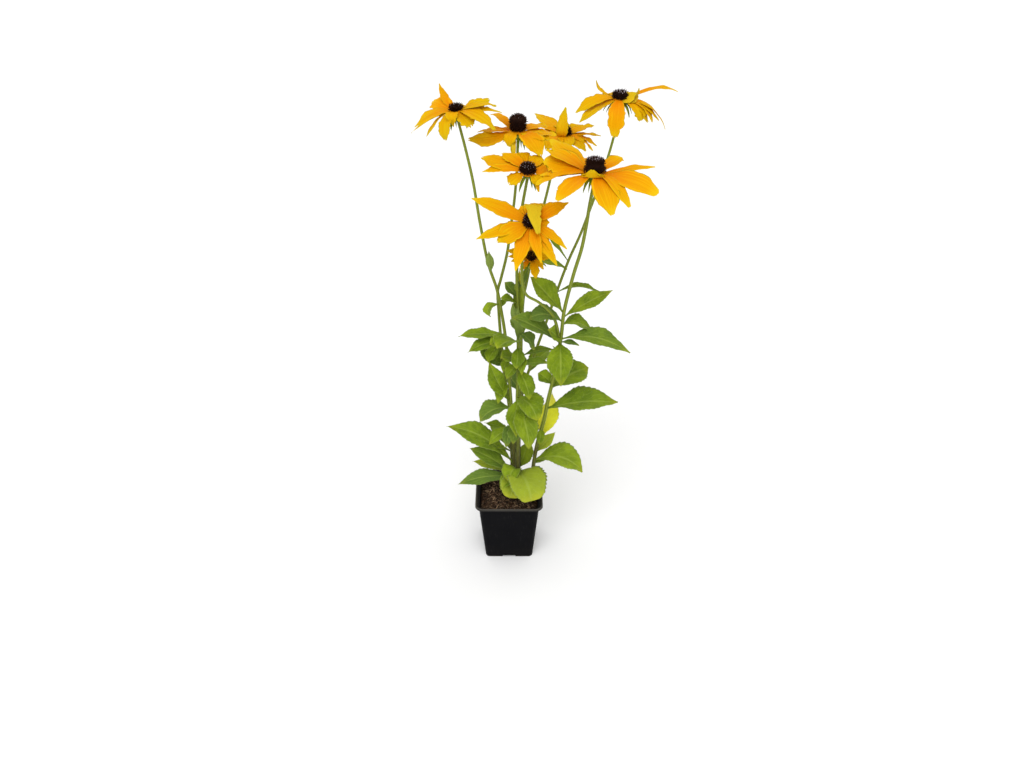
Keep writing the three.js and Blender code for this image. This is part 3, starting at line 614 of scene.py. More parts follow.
def makeCrumbTree():  # crumbs lie on the soil by its fuzz, and fibres only where that is near 1
    inputs = {"Soil": shape, "Crumbs": 0.3, "Crumb Size": 1.6, "Fibres": 0.05, "Fibre Length": 7.0,
              "Fibre Width": 0.35, "Seed": 1, "Finish": finish, "Fibre Finish": finish}
    tree, given = newTree("soilCrumbs", "GeometryNodeTree", inputs, {"Surface": shape})
    seed = given["Seed"]
    ball = output(addNode(tree, "GeometryNodeMeshIcoSphere",
                          {"Radius": given["Crumb Size"] * (0.5 * mm), "Subdivisions": 1}), "Mesh")
    ball = keepValue(tree, ball, "along", 0.5)
    fibre = makeSpike(tree, 4, given["Fibre Width"] * mm, given["Fibre Length"] * mm, 0.5)
    strewn = []
    for part, amount, power, low, high, flat, tint, look in (
            (ball, given["Crumbs"], 1, (0.35, 0.35, 0.3), (1.4, 1.3, 1.0), 3.0, 0.4, given["Finish"]),
            (fibre, given["Fibres"], 9, (0.7, 0.7, 0.4), (1.4, 1.4, 1.3), 0.25, 1.0, given["Fibre Finish"])):
        scattered = scatter(tree, given["Soil"], amount * readFuzz(tree).step("POWER", power), seed)
        direction = randomVector(tree, (-1.0, -1.0, -0.1), (1.0, 1.0, flat), seed)
        size = randomVector(tree, low, high, seed)
        shade = randomBetween(tree, 0.0, 1.0, seed) * tint
        strewn.append(plantSpikes(tree, output(scattered, "Points"), part, direction, size, shade, look))
    endTree(tree, {"Surface": joinParts(tree, *strewn, given["Soil"])})
    return tree


hairTree = makeHairTree()
floretTree = makeFloretTree()
crumbTree = makeCrumbTree()
print("repeats ready")


# Pot: a square nursery pot with round corners, a turned-out rim, notches and drain holes

pot = {
    "height": 95, "rimHalf": 46.5, "rimDepth": 4.4, "topHalf": 42, "footHalf": 33, "wall": 1.3, "floor": 1.8,
    "topCorner": 7, "footCorner": 6, "cornerSteps": 10, "sideSteps": 6,
    "footRound": (0.8, 1), "edgeRound": 0.8, "lip": 1, "lipThick": 2.9,
    "notchWide": 18, "notchHigh": 2.5, "notchDeep": 4, "drainRadius": 3.5, "drainPlace": 17, "drainSteps": 32,
}


def squareLoop(half, corner, z):  # a square with round corners, anticlockwise
    points = []
    reach = half - corner
    for quarter in range(4):
        middle = math.pi / 2 * (quarter + 0.5)
        at = np.array([math.cos(middle), math.sin(middle)]) * math.sqrt(2) * reach
        angles = math.pi / 2 * (quarter + np.linspace(0, 1, pot["cornerSteps"] + 1))
        bend = at + corner * np.stack([np.cos(angles), np.sin(angles)], -1)
        points.append(bend)
        middle += math.pi / 2
        nextAt = np.array([math.cos(middle), math.sin(middle)]) * math.sqrt(2) * reach
        start = nextAt + corner * np.array([math.cos(angles[-1]), math.sin(angles[-1])])
        shares = np.linspace(0, 1, pot["sideSteps"] + 1)[1:-1, None]
        points.append(bend[-1] + (start - bend[-1]) * shares)
    loop = np.concatenate(points)
    return np.column_stack([loop, np.full(len(loop), float(z))])


def potHalf(z):
    return pot["footHalf"] + (pot["topHalf"] - pot["footHalf"]) * (z / pot["height"])


def potCorner(z):
    return pot["footCorner"] + (pot["topCorner"] - pot["footCorner"]) * (z / pot["height"])


def potLoops():  # half width, corner, height, and wear with a painted rim highlight, up the outside, over the rim and down the inside
    height, rim, wall, lip = pot["height"], pot["rimHalf"], pot["wall"], pot["lip"]
    rimCorner = pot["topCorner"] + rim - pot["topHalf"]
    under = height - pot["rimDepth"]
    inset, footTop = pot["footRound"]
    loops = [(potHalf(0) - inset, potCorner(0) - inset, 0, 0.3),
             (potHalf(0) - 0.2, potCorner(0) - 0.2, 0.25, 1),
             (potHalf(footTop), potCorner(footTop), footTop, 0.6), (potHalf(2.2), potCorner(2.2), 2.2, 0)]
    loops += [(potHalf(z), potCorner(z), z, 0) for z in np.linspace(12, under - 1.2, 7)]
    loops += [(potHalf(under), potCorner(under), under, 0), (rim - wall, rimCorner - wall, under + 0.35, 0.2)]
    edge = pot["edgeRound"]
    for angle in np.radians(np.linspace(-60, 0, 4)):  # the rim's lower edge
        out = edge * math.cos(angle)
        loops.append((rim - edge + out, rimCorner - edge + out, under + 1.3 + edge * math.sin(angle), 0.35))
    loops += [(rim - 0.05, rimCorner, under + 2.2, 0.35), (rim - 0.05, rimCorner, height - 1.6, 0.5)]
    for angle in np.radians(np.linspace(0, 180, 9)):  # the rolled lip
        out = lip * math.cos(angle)
        loops.append((rim - lip + out, rimCorner - lip + out, height - lip + lip * math.sin(angle), 1))
    loops += [(rim - pot["lipThick"], rimCorner - pot["lipThick"], height - 2.4, 0.3),
              (potHalf(height - 4) - wall, potCorner(height) - wall, height - 4, 0)]
    return loops + [(potHalf(z) - wall, potCorner(0) - wall, z, 0) for z in np.linspace(80, pot["floor"], 5)]


def makePot():
    loops = potLoops()
    rings = np.stack([squareLoop(half, corner, z) for half, corner, z, _ in loops])
    # edge wear, and on the rim a painted highlight
    wornAndLit = np.array([wearAndHighlight for *_, wearAndHighlight in loops])[:, None]
    pile = newPile()
    addSkin(pile, rings, spreadValues(rings, 0, 0, 0, wornAndLit, 0))
    piece = makePiece("nurseryPot", pile, [potFinish])
    cuts = newPile()
    wide, deep, high = pot["notchWide"] / 2, pot["notchDeep"], pot["notchHigh"]
    corners = ((-deep, -wide), (deep, -wide), (deep, wide), (-deep, wide))
    box = np.array([[[x, y, z] for x, y in corners] for z in (-high, high)]) + [pot["footHalf"], 0, 0]
    angles = np.linspace(0, 2 * math.pi, pot["drainSteps"], endpoint=False)
    circle = np.stack([np.cos(angles), np.sin(angles)], -1) * pot["drainRadius"] + pot["drainPlace"]
    depths = (-2.0 * pot["floor"], 2.0 * pot["floor"])
    hole = np.stack([np.column_stack([circle, np.full(len(circle), z)]) for z in depths])
    for side in range(4):
        turn = np.array(Matrix.Rotation(math.pi / 2 * side, 3, "Z")).T
        addSkin(cuts, box @ turn, 0)
        addSkin(cuts, hole @ turn, 0)
    cutter = makePiece("potCuts", cuts, [potFinish])
    modifier = piece.modifiers.new("cuts", "BOOLEAN")
    modifier.object, modifier.operation, modifier.solver = cutter, "DIFFERENCE", "EXACT"
    bakeModifiers(piece)
    bpy.data.objects.remove(cutter)
    piece.data.set_sharp_from_angle(angle=math.radians(40))
    settle(piece, "pot")


makePot()


# Soil: lumpy peat with crumbs and pale fibres

soil = {
    "top": 84, "clear": 0.4, "lump": 1.3, "rings": 44, "grain": 0.45, "sink": 0.8,
    "inner": 0.78, "edge": 0.35,  # beyond the inner share, near the wall, only small crumbs lie
    "Crumbs": 0.5, "Crumb Size": 2.4, "Fibres": 0.04, "Fibre Length": 6.5, "Fibre Width": 0.75, "Seed": 5,
}


def soilHeight(x, y):
    wave = np.sin(0.21 * x + 0.8) * np.cos(0.17 * y) + 0.8 * np.sin(0.47 * x - 0.39 * y)
    wave = wave + 0.5 * np.cos(0.83 * y + 0.31 * x)
    grain = np.sin(1.9 * x + 0.7 * y) * np.cos(2.3 * y - 0.4 * x) + 0.7 * np.sin(3.1 * x - 2.2 * y)
    return soil["top"] + soil["lump"] * wave + soil["grain"] * grain


def makeSoil():
    level = pot["floor"] + soil["clear"]
    half = potHalf(soil["top"]) - pot["wall"] - soil["clear"]
    corner = potCorner(soil["top"]) - pot["wall"]
    low = potHalf(level) - pot["wall"] - soil["clear"]
    rings = [squareLoop(low, potCorner(level) - pot["wall"], level)]
    for share in np.linspace(1, 0.02, soil["rings"]):
        loop = squareLoop(half * share, corner * share, 0)
        loop[:, 2] = soilHeight(loop[:, 0], loop[:, 1]) - soil["sink"] * smooth(share, 0.9, 1.0)
        rings.append(loop)
    rings = np.stack(rings)
    fuzz = np.zeros((len(rings), 1))
    fuzz[2:] = soil["edge"]
    fuzz[1 + int((1 - soil["inner"]) * soil["rings"]):] = 1
    pile = newPile()
    addSkin(pile, rings, spreadValues(rings, 0, 0, 0, 0, fuzz))
    piece = makePiece("peatSoil", pile, [soilFinish])
    grow(piece, crumbTree, {**soil, "Finish": soilFinish, "Fibre Finish": fibreFinish})
    settle(piece, "soil")


makeSoil()
print("pot and soil made")


# Plant: where the stems run, and where each leaf and petal stands

# A leaf: height of its foot, turn, reach, rise of its tip, lift of its middle, width, roll, outward push.
stems = {
    "a": {
        "route": (
            (7, 1, 48), (7, 2, 126), (6, 3, 175), (3, 4, 232), (-1, 6, 293), (-5, 8, 339),
            (-10, 10, 373), (-15, 12, 400), (-26, 15, 436), (-35, 17, 488), (-42, 18, 537), (-50, 19, 577),
        ),
        "radius": (2.3, 1.5),
        "leaves": (
            (113, 190, 80, -2, 16, 24, 30, 0), (119, 186, 62, 46, 10, 28, 35, 0),
            (136, 177, 92, 62, 26, 34, 35, -8), (192, 203, 37, -15, 14, 19, 20, 0),
            (226, 191, 44, -15, 18, 30, 20, 6), (234, 188, 27, 69, 0, 24, 85, 6),
            (328, 197, 52, -7, 9, 22, 20, 0), (330, 215, 26, 2, 4, 20, 30, 0),
            (337, 185, 60, 0, 5, 22, 15, 0),
            (379, 205, 12, -15, 13, 14, 25, 18), (422, 262, 8, 32, 0, 11, 0, 4),
        ),
    },
    "b": {
        "route": (
            (3, 13, 48), (4, 12, 119), (3, 14, 168), (0, 16, 224), (-7, 18, 281), (-11, 20, 333),
            (-13, 22, 365), (-14, 23, 391), (-10, 24, 408), (-2, 25, 443), (3, 27, 480), (7, 28, 512),
            (10, 30, 549),
        ),
        "radius": (2.1, 1.5),
        "leaves": (
            (112, 172, 56, 18, 8, 17, 30, 0), (150, 128, 52, 20, 12, 23, 0, 0),
            (181, 172, 36, 14, 4, 13, 20, 0), (284, 182, 30, 34, -4, 24, 60, 0),
            (300, 118, 44, 14, 10, 20, 0, 0), (318, 222, 24, -20, 4, 19, 10, 4),
            (366, 20, 15, 19, 0, 9, -30, 0),
        ),
    },
    "c": {
        "route": (
            (12, -7, 48), (12, -6, 132), (12, -6, 182), (11, -4, 237), (12, -4, 291),
            (12, -4, 343), (11, -5, 393), (10, -8, 434), (11, -12, 477), (15, -16, 514),
        ),
        "radius": (2.4, 1.6),
        "leaves": (
            (122, 233, 36, -4, 12, 22, 0, 0), (133, 240, 28, -2, 18, 28, 0, 2),
            (128, 294, 48, -15, 24, 54, 0, 8), (238, 292, 46, -42, 16, 34, 0, 12),
            (248, 314, 40, -16, 18, 36, -12, 6),
            (292, 300, 30, -30, 8, 24, 0, 8), (300, 348, 40, 4, 4, 17, -20, 0),
            (308, 205, 26, 8, 4, 26, 20, 0),
            (325, 268, 22, -20, 6, 18, 0, 6), (332, 236, 46, 12, 12, 36, 0, 0),
            (346, 328, 26, -16, 8, 21, 0, 2),
            (350, 75, 5, 84, 2, 14, 0, 0), (388, 200, 24, 12, 4, 13, 30, 0), (396, 165, 18, 18, 2, 16, 40, 0),
            (406, 35, 18, 32, -2, 10, -40, 0),
        ),
    },
    "d": {
        "route": (
            (14, 9, 48), (14, 12, 119), (14, 18, 166), (15, 22, 220), (16, 28, 288), (17, 34, 344),
            (21, 44, 390), (30, 58, 426), (38, 70, 462), (46, 78, 492), (58, 90, 538),
        ),
        "radius": (2.1, 1.5),
        "leaves": (
            (122, 40, 18, 40, -2, 24, -60, 0), (175, 38, 56, 14, 12, 25, 0, 0),
            (210, 342, 26, 33, 2, 15, -50, 0), (293, 350, 44, 13, 8, 14, -20, 0),
            (318, 95, 50, 6, 12, 24, 0, 0), (417, 16, 50, -15, 10, 19, -20, 0),
        ),
    },
    "e": {
        "route": (
            (8, 20, 48), (8, 21, 114), (11, 26, 160), (18, 32, 232), (32, 38, 283), (51, 44, 342),
            (62, 46, 379), (76, 48, 422), (90, 50, 457), (100, 50, 488), (111, 50, 523), (119, 50, 554),
            (126, 50, 585),
        ),
        "radius": (2, 1.4),
        "leaves": (
            (140, 100, 54, 12, 14, 26, 0, 0), (232, 126, 50, 10, 12, 32, 0, 0),
            (262, 55, 52, 10, 12, 26, 0, 0), (359, 196, 22, 33, 2, 22, 60, 0),
            (379, 350, 58, 4, 16, 15, 0, 0), (422, 192, 27, 35, 2, 10, 30, 0),
        ),
    },
    "f": {
        "route": (
            (26, 2, 48), (30, 1, 100), (33, 0, 130), (38, -3, 172), (47, -8, 218), (51, -12, 248),
            (57, -18, 286), (65, -26, 348), (68, -32, 392), (77, -40, 443), (85, -46, 479),
            (89, -50, 508), (92, -53, 537),
        ),
        "radius": (2.6, 1.8),
        "leaves": (
            (138, 24, 22, 6, 4, 11, -20, 0), (145, 350, 66, -13, 31, 39, -25, 8),
            (158, 14, 28, 30, 0, 16, -60, 0), (235, 0, 94, 12, 10, 42, -20, 0),
            (270, 30, 58, 14, 10, 42, -30, 0), (277, 152, 20, 12, 4, 19, 40, 0),
            (343, 270, 45, -36, 14, 33, 0, 6), (343, 189, 64, 38, 12, 28, 35, 0),
            (345, 348, 24, -2, 2, 10, -20, 0), (346, 215, 20, 24, 4, 24, 60, 0),
            (349, 354, 88, -12, 22, 28, -30, 0), (371, 32, 48, -22, 14, 24, -35, 0),
            (375, 176, 44, 2, 18, 26, 30, 0), (382, 18, 64, 28, 4, 22, -40, 0),
            (388, 168, 44, 44, 4, 28, 45, 0),
        ),
    },
}

shoots = {  # side shoots, each with a bloom of the same letter
    "g": {
        "from": "f",
        "route": (
            (64, -26, 346), (58, -30, 375), (49, -34, 393), (36, -38, 407), (22, -40, 417),
            (17, -40, 431), (16, -39, 452), (17, -42, 480),
        ),
        "radius": (1.8, 1.5),
    },
    "h": {
        "from": "c",
        "route": (
            (12, -4, 346), (14, -3, 368), (18, 0, 393), (22, 1, 412), (25, -3, 432),
        ),
        "radius": (1.7, 1.4),
    },
}

# A petal: turn, reach, rise of its tip, width. A cone: radius, height, width of its crown as a share.
# The last dictionary changes a petal: elbow bends it there, and root starts it at another turn.
flowers = {
    "a": {
        "stem": "a", "at": (-60, 20, 623.5), "lean": (-0.12, -0.1, 1), "cone": (8.4, 4.4, 0.96), "blunt": 0.4,
        "petals": (
            (13, 41, 4, 20, {"roll": -25}), (50, 30, -12, 18), (85, 28, -12, 17),
            (119, 31, 23.5, 11, {"elbow": (26, 4), "blunt": 0}),
            (138, 41, 5.5, 24, {"roll": 20, "blunt": 1}), (180, 52, -14.5, 20, {"roll": 15, "blunt": 0.2}),
            (190, 56, -17, 8, {"blunt": 0}), (194, 39, -24.5, 9, {"blunt": 1}),
            (233, 25, -25.5, 18, {"elbow": (20, 0), "blunt": 0.8}),
            (256, 18, -13.5, 15, {"elbow": (16, 8), "blunt": 0}), (308, 30, -12, 23, {"blunt": 0.9}),
            (326, 54, -15.5, 20), (350, 53, -4.5, 10, {"blunt": 0}), (358, 48, 1.5, 14, {"blunt": 0.7}),
        ),
    },
    "b": {
        "stem": "b", "at": (11, 30, 596), "lean": (0, 0, 1), "cone": (9.6, 17, 1.16), "blunt": 0.5,
        "petals": (
            (1, 46, -4, 24), (33, 42, -2, 21), (64, 38, -6, 20), (97, 36, -8, 20), (126, 38, -6, 18),
            (150, 38, 14, 18, {"elbow": (17, 19)}), (169, 50, -4, 17),
            (194, 60, -8, 23, {"roll": 28, "elbow": (20, -12), "blunt": 0.9}),
            (274, 17, -29, 7, {"root": 215, "elbow": (18, -2)}), (243, 21, -14, 17, {"elbow": (18, 2)}),
            (309, 13, -5, 12, {"elbow": (14, 1)}), (305, 46, -18, 28), (336, 44, -8, 22),
        ),
    },
    "c": {
        "stem": "c", "at": (22, -25, 567), "lean": (0.02, -0.35, 1), "cone": (9.4, 7.2, 0.88), "blunt": 0.5,
        "petals": (
            (23, 36, -1.5, 22), (58, 31, 0.5, 19), (104, 37, 0.5, 20), (132, 41, 0.5, 18),
            (157, 58, 0.5, 25, {"blunt": 0.8}), (175, 53, -5.5, 14, {"blunt": 0}),
            (213, 25, -9.5, 18, {"blunt": 1}), (311, 22, -16.5, 8),
            (309, 19, -8, 17, {"elbow": (13, 5)}), (356, 35, -5.5, 23),
        ),
    },
    "d": {
        "stem": "d", "at": (69, 95, 571), "lean": (0, -0.1, 1), "cone": (8.6, 7.5, 0.9), "blunt": 0.2,
        "petals": (
            (7, 47, -4, 12), (26, 43, 2, 18), (54, 40, 2, 19), (95, 38, -2, 20), (123, 67, 6, 20),
            (147, 53, 0, 11), (170, 42, -4, 21), (228, 37, -8, 27),
            (76, 16, 33, 15, {"root": 250, "elbow": (-17, 15)}), (276, 30, -5.5, 22), (316, 36, -10, 18),
            (342, 38, -16, 14), (357, 41, -12, 14),
        ),
    },
    "e": {
        "stem": "e", "at": (131, 50, 629), "lean": (0.05, -0.1, 1), "cone": (9.6, 6.6, 1), "blunt": 0.3,
        "petals": (
            (18, 73, 4, 11, {"elbow": (42, 19)}), (58, 36, -12, 19), (93, 34, -14, 19),
            (122, 34, -12, 17), (150, 35, 14.5, 8, {"elbow": (22, 2), "blunt": 0.9}),
            (187, 53, -17.5, 18, {"roll": 22, "blunt": 0.3}), (202, 50, -25, 20),
            (258, 33, -35.5, 20, {"elbow": (30, 2), "blunt": 1}),
            (323, 30, -19.5, 20, {"roll": -20, "elbow": (24, 2), "blunt": 0.8}),
            (342, 41, -23.5, 16, {"elbow": (26, 2)}), (349, 56, -30, 12, {"elbow": (34, 4), "blunt": 0}),
            (18, 18, 14, 18, {"root": 292, "elbow": (16, -5)}),
        ),
    },
    "f": {
        "stem": "f", "at": (96, -55, 576), "lean": (0, 0, 1), "cone": (13.1, 15, 0.78), "blunt": 0.95,
        "petals": (
            (5, 68, 6, 13, {"blunt": 0.4}), (44, 46, 5, 24), (74, 44, 2, 20), (102, 46, 2, 20),
            (134, 66, 25.5, 32), (156, 61, 6.5, 38, {"roll": 32}), (179, 61, -4, 19), (188, 67, -11, 17),
            (223, 60, -16, 25), (262, 17, 9, 27, {"elbow": (10.5, -4)}),
            (285, 61, -26, 30, {"blunt": 0.6}), (306, 58, -24, 15), (334, 75, -11.5, 30, {"roll": -25}),
        ),
    },
    "g": {
        "stem": "f", "at": (26, -58, 518), "lean": (-0.1, -0.75, 1), "cone": (9, 9, 0.9), "blunt": 0,
        "petals": (
            (3, 21, -4, 17), (30, 50, 1, 19), (60, 30, 0, 23, {"blunt": 0.6}),
            (85, 25, 0, 20, {"blunt": 0.6}), (118, 26, 0, 20), (154, 78, -2, 20), (193, 65, -8, 18),
            (209, 45, -6, 28, {"blunt": 0.5}), (250, 58, -12, 20), (280, 51, -6, 14), (297, 57, -12, 16),
            (323, 51, -8, 12), (98, -29, 12, 21, {"root": 54, "roll": 25, "elbow": (31, 22), "blunt": 0.5}),
        ),
    },
    "h": {
        "stem": "c", "at": (27, -24, 459), "lean": (0.1, -0.6, 1), "cone": (6.6, 7.5, 0.9), "blunt": 0.5,
        "petals": (
            (10, 25, -2, 13), (58, 22, 0, 13), (104, 19, 2, 12), (160, 30, 0, 9), (176, 28, -2, 8),
            (196, 24, -4, 8), (230, 20, -5, 8), (284, 27, -6, 11), (326, 20, -6, 8),
        ),
    },
}

# fine is how many strips a blade has across and along, and fuzz is how hairy it is.
leafForm = {"thick": 0.7, "fine": (16, 56), "fuzz": 0.16, "cup": 0.3, "wave": 1.2, "notch": 0.015,
            "notches": 6, "teeth": 13, "tooth": 0.045, "ripple": 0.8, "vein": 0.22, "rib": 0.35, "bow": 2.5,
            "sickle": 3}
petalForm = {"thick": 0.5, "fine": (18, 56), "bunch": 1.4, "fuzz": 0, "pleat": 0.3, "ragged": 2.8,
             "frill": (0.045, 0.05, 0.035), "curl": 1.4, "sickle": 2.5, "tipCurl": 2.5}
sepalForm = {"thick": 0.7, "fine": (8, 14), "fuzz": 0.7, "tint": 0.12, "wide": 4.6}
head = {
    "neck": 10, "cupTop": -1.9, "cupFoot": -8.5, "cupSides": 24,
    "collarTop": 1.2, "collarFoot": -1.4, "collarSides": 32, "coneFoot": 1.8,
    "petalRoot": 0.84, "layer": 1.5, "arch": (0.09, 0.14), "cupRim": 0.8, "sepals": 6,
    "sepalLevel": -3.6, "sepalReach": 15, "sepalDrop": 11,
}
softSepals = {  # turn, reach and drop of the sepals that the solids leave out
    "a": ((203, 10, 12), (219, 8, 15), (236, 6, 13), (254, 4, 14)), "b": ((278, 3, 17), (296, 5, 14)),
    "c": ((300, 7, 14), (332, 9, 12)), "d": ((250, 6, 12), (285, 5, 12), (312, 7, 11)),
    "e": ((203, 13, 12), (226, 11, 15), (298, 8, 17), (318, 12, 15), (335, 12, 12)),
    "f": ((226, 13, 13), (241, 9, 15)), "g": ((282, 6, 11),), "h": ((268, 4, 8),),
}
yellowLeaf = {"root": (44, 3, 180), "turn": 40, "reach": 18, "rise": 66, "lift": -4, "wide": 30, "roll": -80,
              "tint": 0.4, "hairs": 0.2}


def bladeSkin(form, outline, relief):  # the solids' bent lens, finer, thinner and with relief
    across, rows = form["fine"]
    v = 1 - (1 - np.linspace(0, 1, rows + 1)) ** form.get("bunch", 1)  # a bunch above 1 is finer at the tip
    angle = math.radians(form["turn"])
    outward = np.array([math.cos(angle), math.sin(angle), 0])
    level = np.array([math.sin(angle), -math.cos(angle), 0])
    elbow, tip = np.array(form["elbow"], float), np.array(form["tip"], float)
    plane = np.stack([outward, [0, 0, 1]])
    centre = (2 * v * (1 - v))[:, None] * elbow + (v * v)[:, None] * tip
    heading = 2 * (1 - v)[:, None] * elbow + 2 * v[:, None] * (tip - elbow)
    along = unit(heading @ plane)
    flatNormal = np.cross(level, along)
    twist = (math.radians(form.get("roll", 0)) * v * (2 - v))[:, None]
    sideways = level * np.cos(twist) + flatNormal * np.sin(twist)
    normal = np.cross(sideways, along)
    top = np.linspace(-1, 1, across + 1)
    u = np.concatenate([top, top[-2:0:-1]])[None, :]
    face = np.concatenate([[0], np.ones(across - 1), [0], -np.ones(across - 1)])[None, :]
    v = v[:, None]
    edge = np.abs(u)
    half = 0.5 * form["wide"] * outline(v, u)
    lift, push = relief(u, v, face, half)
    height = form.get("cup", 0) * half * edge + form.get("wave", 0) * np.sin(9 * v + 2 * u) * edge * v + lift
    height = height + face * 0.5 * form["thick"] * np.sqrt(1 - edge**2) * np.minimum(1, 6 * (1 - v) + 0.1)
    rings = (np.array(form["root"], float) + (centre @ plane)[:, None, :]
             + sideways[:, None, :] * (u * half)[..., None] + normal[:, None, :] * height[..., None]
             + along[:, None, :] * push[..., None]
             + sideways[:, None, :] * (form.get("sickle", 0) * v * v)[..., None])
    return rings, spreadValues(rings, u, v, face, form["tint"], form["fuzz"])


def tubeSkin(route, radii, rows, sides=12, ribs=4, rib=0.06):  # a stem with shallow ribs
    t = np.linspace(0, 1, rows + 1)
    centre, along = curvePoints(route, t)
    first = unit(np.cross([0, 1, 0], along))
    second = np.cross(along, first)
    angle = np.linspace(0, 2 * math.pi, sides, endpoint=False)[None, :]
    radius = ((1 - t) * radii[0] + t * radii[1])[:, None] * (1 + rib * np.cos(ribs * angle))
    rings = (centre[:, None, :] + first[:, None, :] * (radius * np.cos(angle))[..., None]
             + second[:, None, :] * (radius * np.sin(angle))[..., None])
    return rings, spreadValues(rings, np.cos(ribs * angle), t[:, None], 1, 0, 1)


def turnedSkin(profile, sides, fuzz=0.0):  # a profile of radius and height, turned about +Z
    angle = np.linspace(0, 2 * math.pi, sides, endpoint=False)[None, :]
    radius, height = np.array(profile, float).T[..., None]
    rings = np.stack(np.broadcast_arrays(radius * np.cos(angle), radius * np.sin(angle), height), -1)
    return rings, spreadValues(rings, 0, np.linspace(0, 1, len(profile))[:, None], 1, 0, fuzz)


def leafSkin(root, leaf, tint, draw, point=None):  # a low point makes the blade blunt
    _, turn, reach, rise, lift, wide, roll, out = leaf
    point = point or min(1.35, max(0.75, 1.55 - 0.9 * wide / math.hypot(reach, rise)))
    teeth, ripple, waver = leafForm["teeth"] + draw(-2, 2), draw(0, 6), draw(-0.2, 0.2)
    cup, lop, bend = leafForm["cup"] + draw(-0.1, 0.14), draw(-0.1, 0.1), draw(-1, 1)
    sickle = draw(-1, 1) * min(leafForm["sickle"], 0.12 * wide)

    def outline(v, u):
        body = np.sin(math.pi * v**1.1) ** point
        notch = 1 + leafForm["notch"] * np.cos(leafForm["notches"] * math.pi * v)
        tooth = 1 + leafForm["tooth"] * (2 * ((v * teeth + 0.2 * np.sign(u)) % 1) - 1)
        uneven = 1 + np.sign(u) * lop * np.sin(math.pi * v) + 0.04 * np.sin(11 * v + ripple + 2 * np.sign(u))
        return np.maximum(np.maximum(body * notch * tooth * uneven, 0.13 * (1 - v)), 0.03)

    def relief(u, v, face, half):
        edge = np.abs(u)
        line = 8 * v - 2.2 * edge**0.8 + waver
        apart = np.abs(line - np.round(line))
        inner = smooth(edge, 0.03, 0.2) * (1 - smooth(edge, 0.85, 1)) * smooth(half, 2, 7)
        height = (0.3 * apart * 2 - leafForm["vein"]) * inner
        height = height - leafForm["rib"] * groove(u * half, 0.8) * (1 - 0.6 * v) * np.where(face < 0, 2.2, 1)
        side = np.sign(u)  # the two halves of a blade ripple apart
        rippled = np.sin(21 * v + 2.5 * side + ripple) + 0.8 * np.sin(12 * v - 1.5 * side + 2 * ripple)
        height = height + leafForm["ripple"] * rippled * edge**2 * smooth(half, 2, 9)
        height = height + leafForm["bow"] * bend * smooth(v, 0.5, 1) * smooth(half + 4 * v, 2, 9)
        return height, 0 * height

    form = {
        **leafForm, "root": root, "turn": turn, "wide": wide, "roll": roll, "tint": tint, "cup": cup,
        "sickle": sickle, "elbow": (0.5 * reach + out, 0.5 * rise + lift), "tip": (reach, rise),
    }
    return bladeSkin(form, outline, relief)


def flowerFrame(flower):  # the bloom's own axes as rows, and its place
    axis = unit(np.array(flower["lean"], float))
    level = unit(np.array([1.0, 0, 0]) - axis * axis[0])
    return np.stack([level, np.cross(axis, level), axis]), np.array(flower["at"], float)


def routeTo(key, route):  # ends a stem under its bloom
    turned, at = flowerFrame(flowers[key])
    return [*route, tuple(at - head["neck"] * turned[2])]


def addHeadSkin(pile, flower, skinned, slot=0):
    turned, at = flowerFrame(flower)
    addSkin(pile, skinned[0] @ turned + at, skinned[1], slot)


def sepalOutline(v, u):
    return np.maximum(0.05, 0.7 + 0.9 * v - 1.5 * v * v - 0.12 * smooth(v, 0.9, 1))


def sepalRelief(u, v, face, half):
    return -0.35 * groove(u, 0.3) * (1 - v) + 0.35 * u * u * v, 0 * half


def addCup(pile, key, flower):  # the green cup and its sepals
    draw = seededDraw(seeds["cups"] + ord(key))
    rim, foot, top = head["cupRim"] * flower["cone"][0], head["cupFoot"], head["cupTop"]
    profile = [(0, foot - 2.5), (1.7, foot - 2.2), (0.36 * rim, foot), (0.58 * rim, foot + 2.5),
               (0.86 * rim, top - 2.6), (rim, top - 1.2), (rim, top - 0.2), (0, top)]
    addHeadSkin(pile, flower, turnedSkin(profile, head["cupSides"], fuzz=1), 1)
    sepals = [(360 / head["sepals"] * place + draw(-9, 9), head["sepalReach"] * draw(0.8, 1.15),
               head["sepalDrop"] * draw(0.8, 1.3), sepalForm["wide"]) for place in range(head["sepals"])]
    sepals += [(*sepal, sepalForm["wide"] * draw(0.65, 1)) for sepal in softSepals[key]]
    for turn, reach, drop, wide in sepals:
        angle = math.radians(turn)
        form = {
            **sepalForm, "turn": turn, "wide": wide,
            "root": (0.5 * rim * math.cos(angle), 0.5 * rim * math.sin(angle), head["sepalLevel"]),
            "elbow": (0.75 * reach, -0.05 * drop), "tip": (reach, -drop),
        }
        addHeadSkin(pile, flower, bladeSkin(form, sepalOutline, sepalRelief))


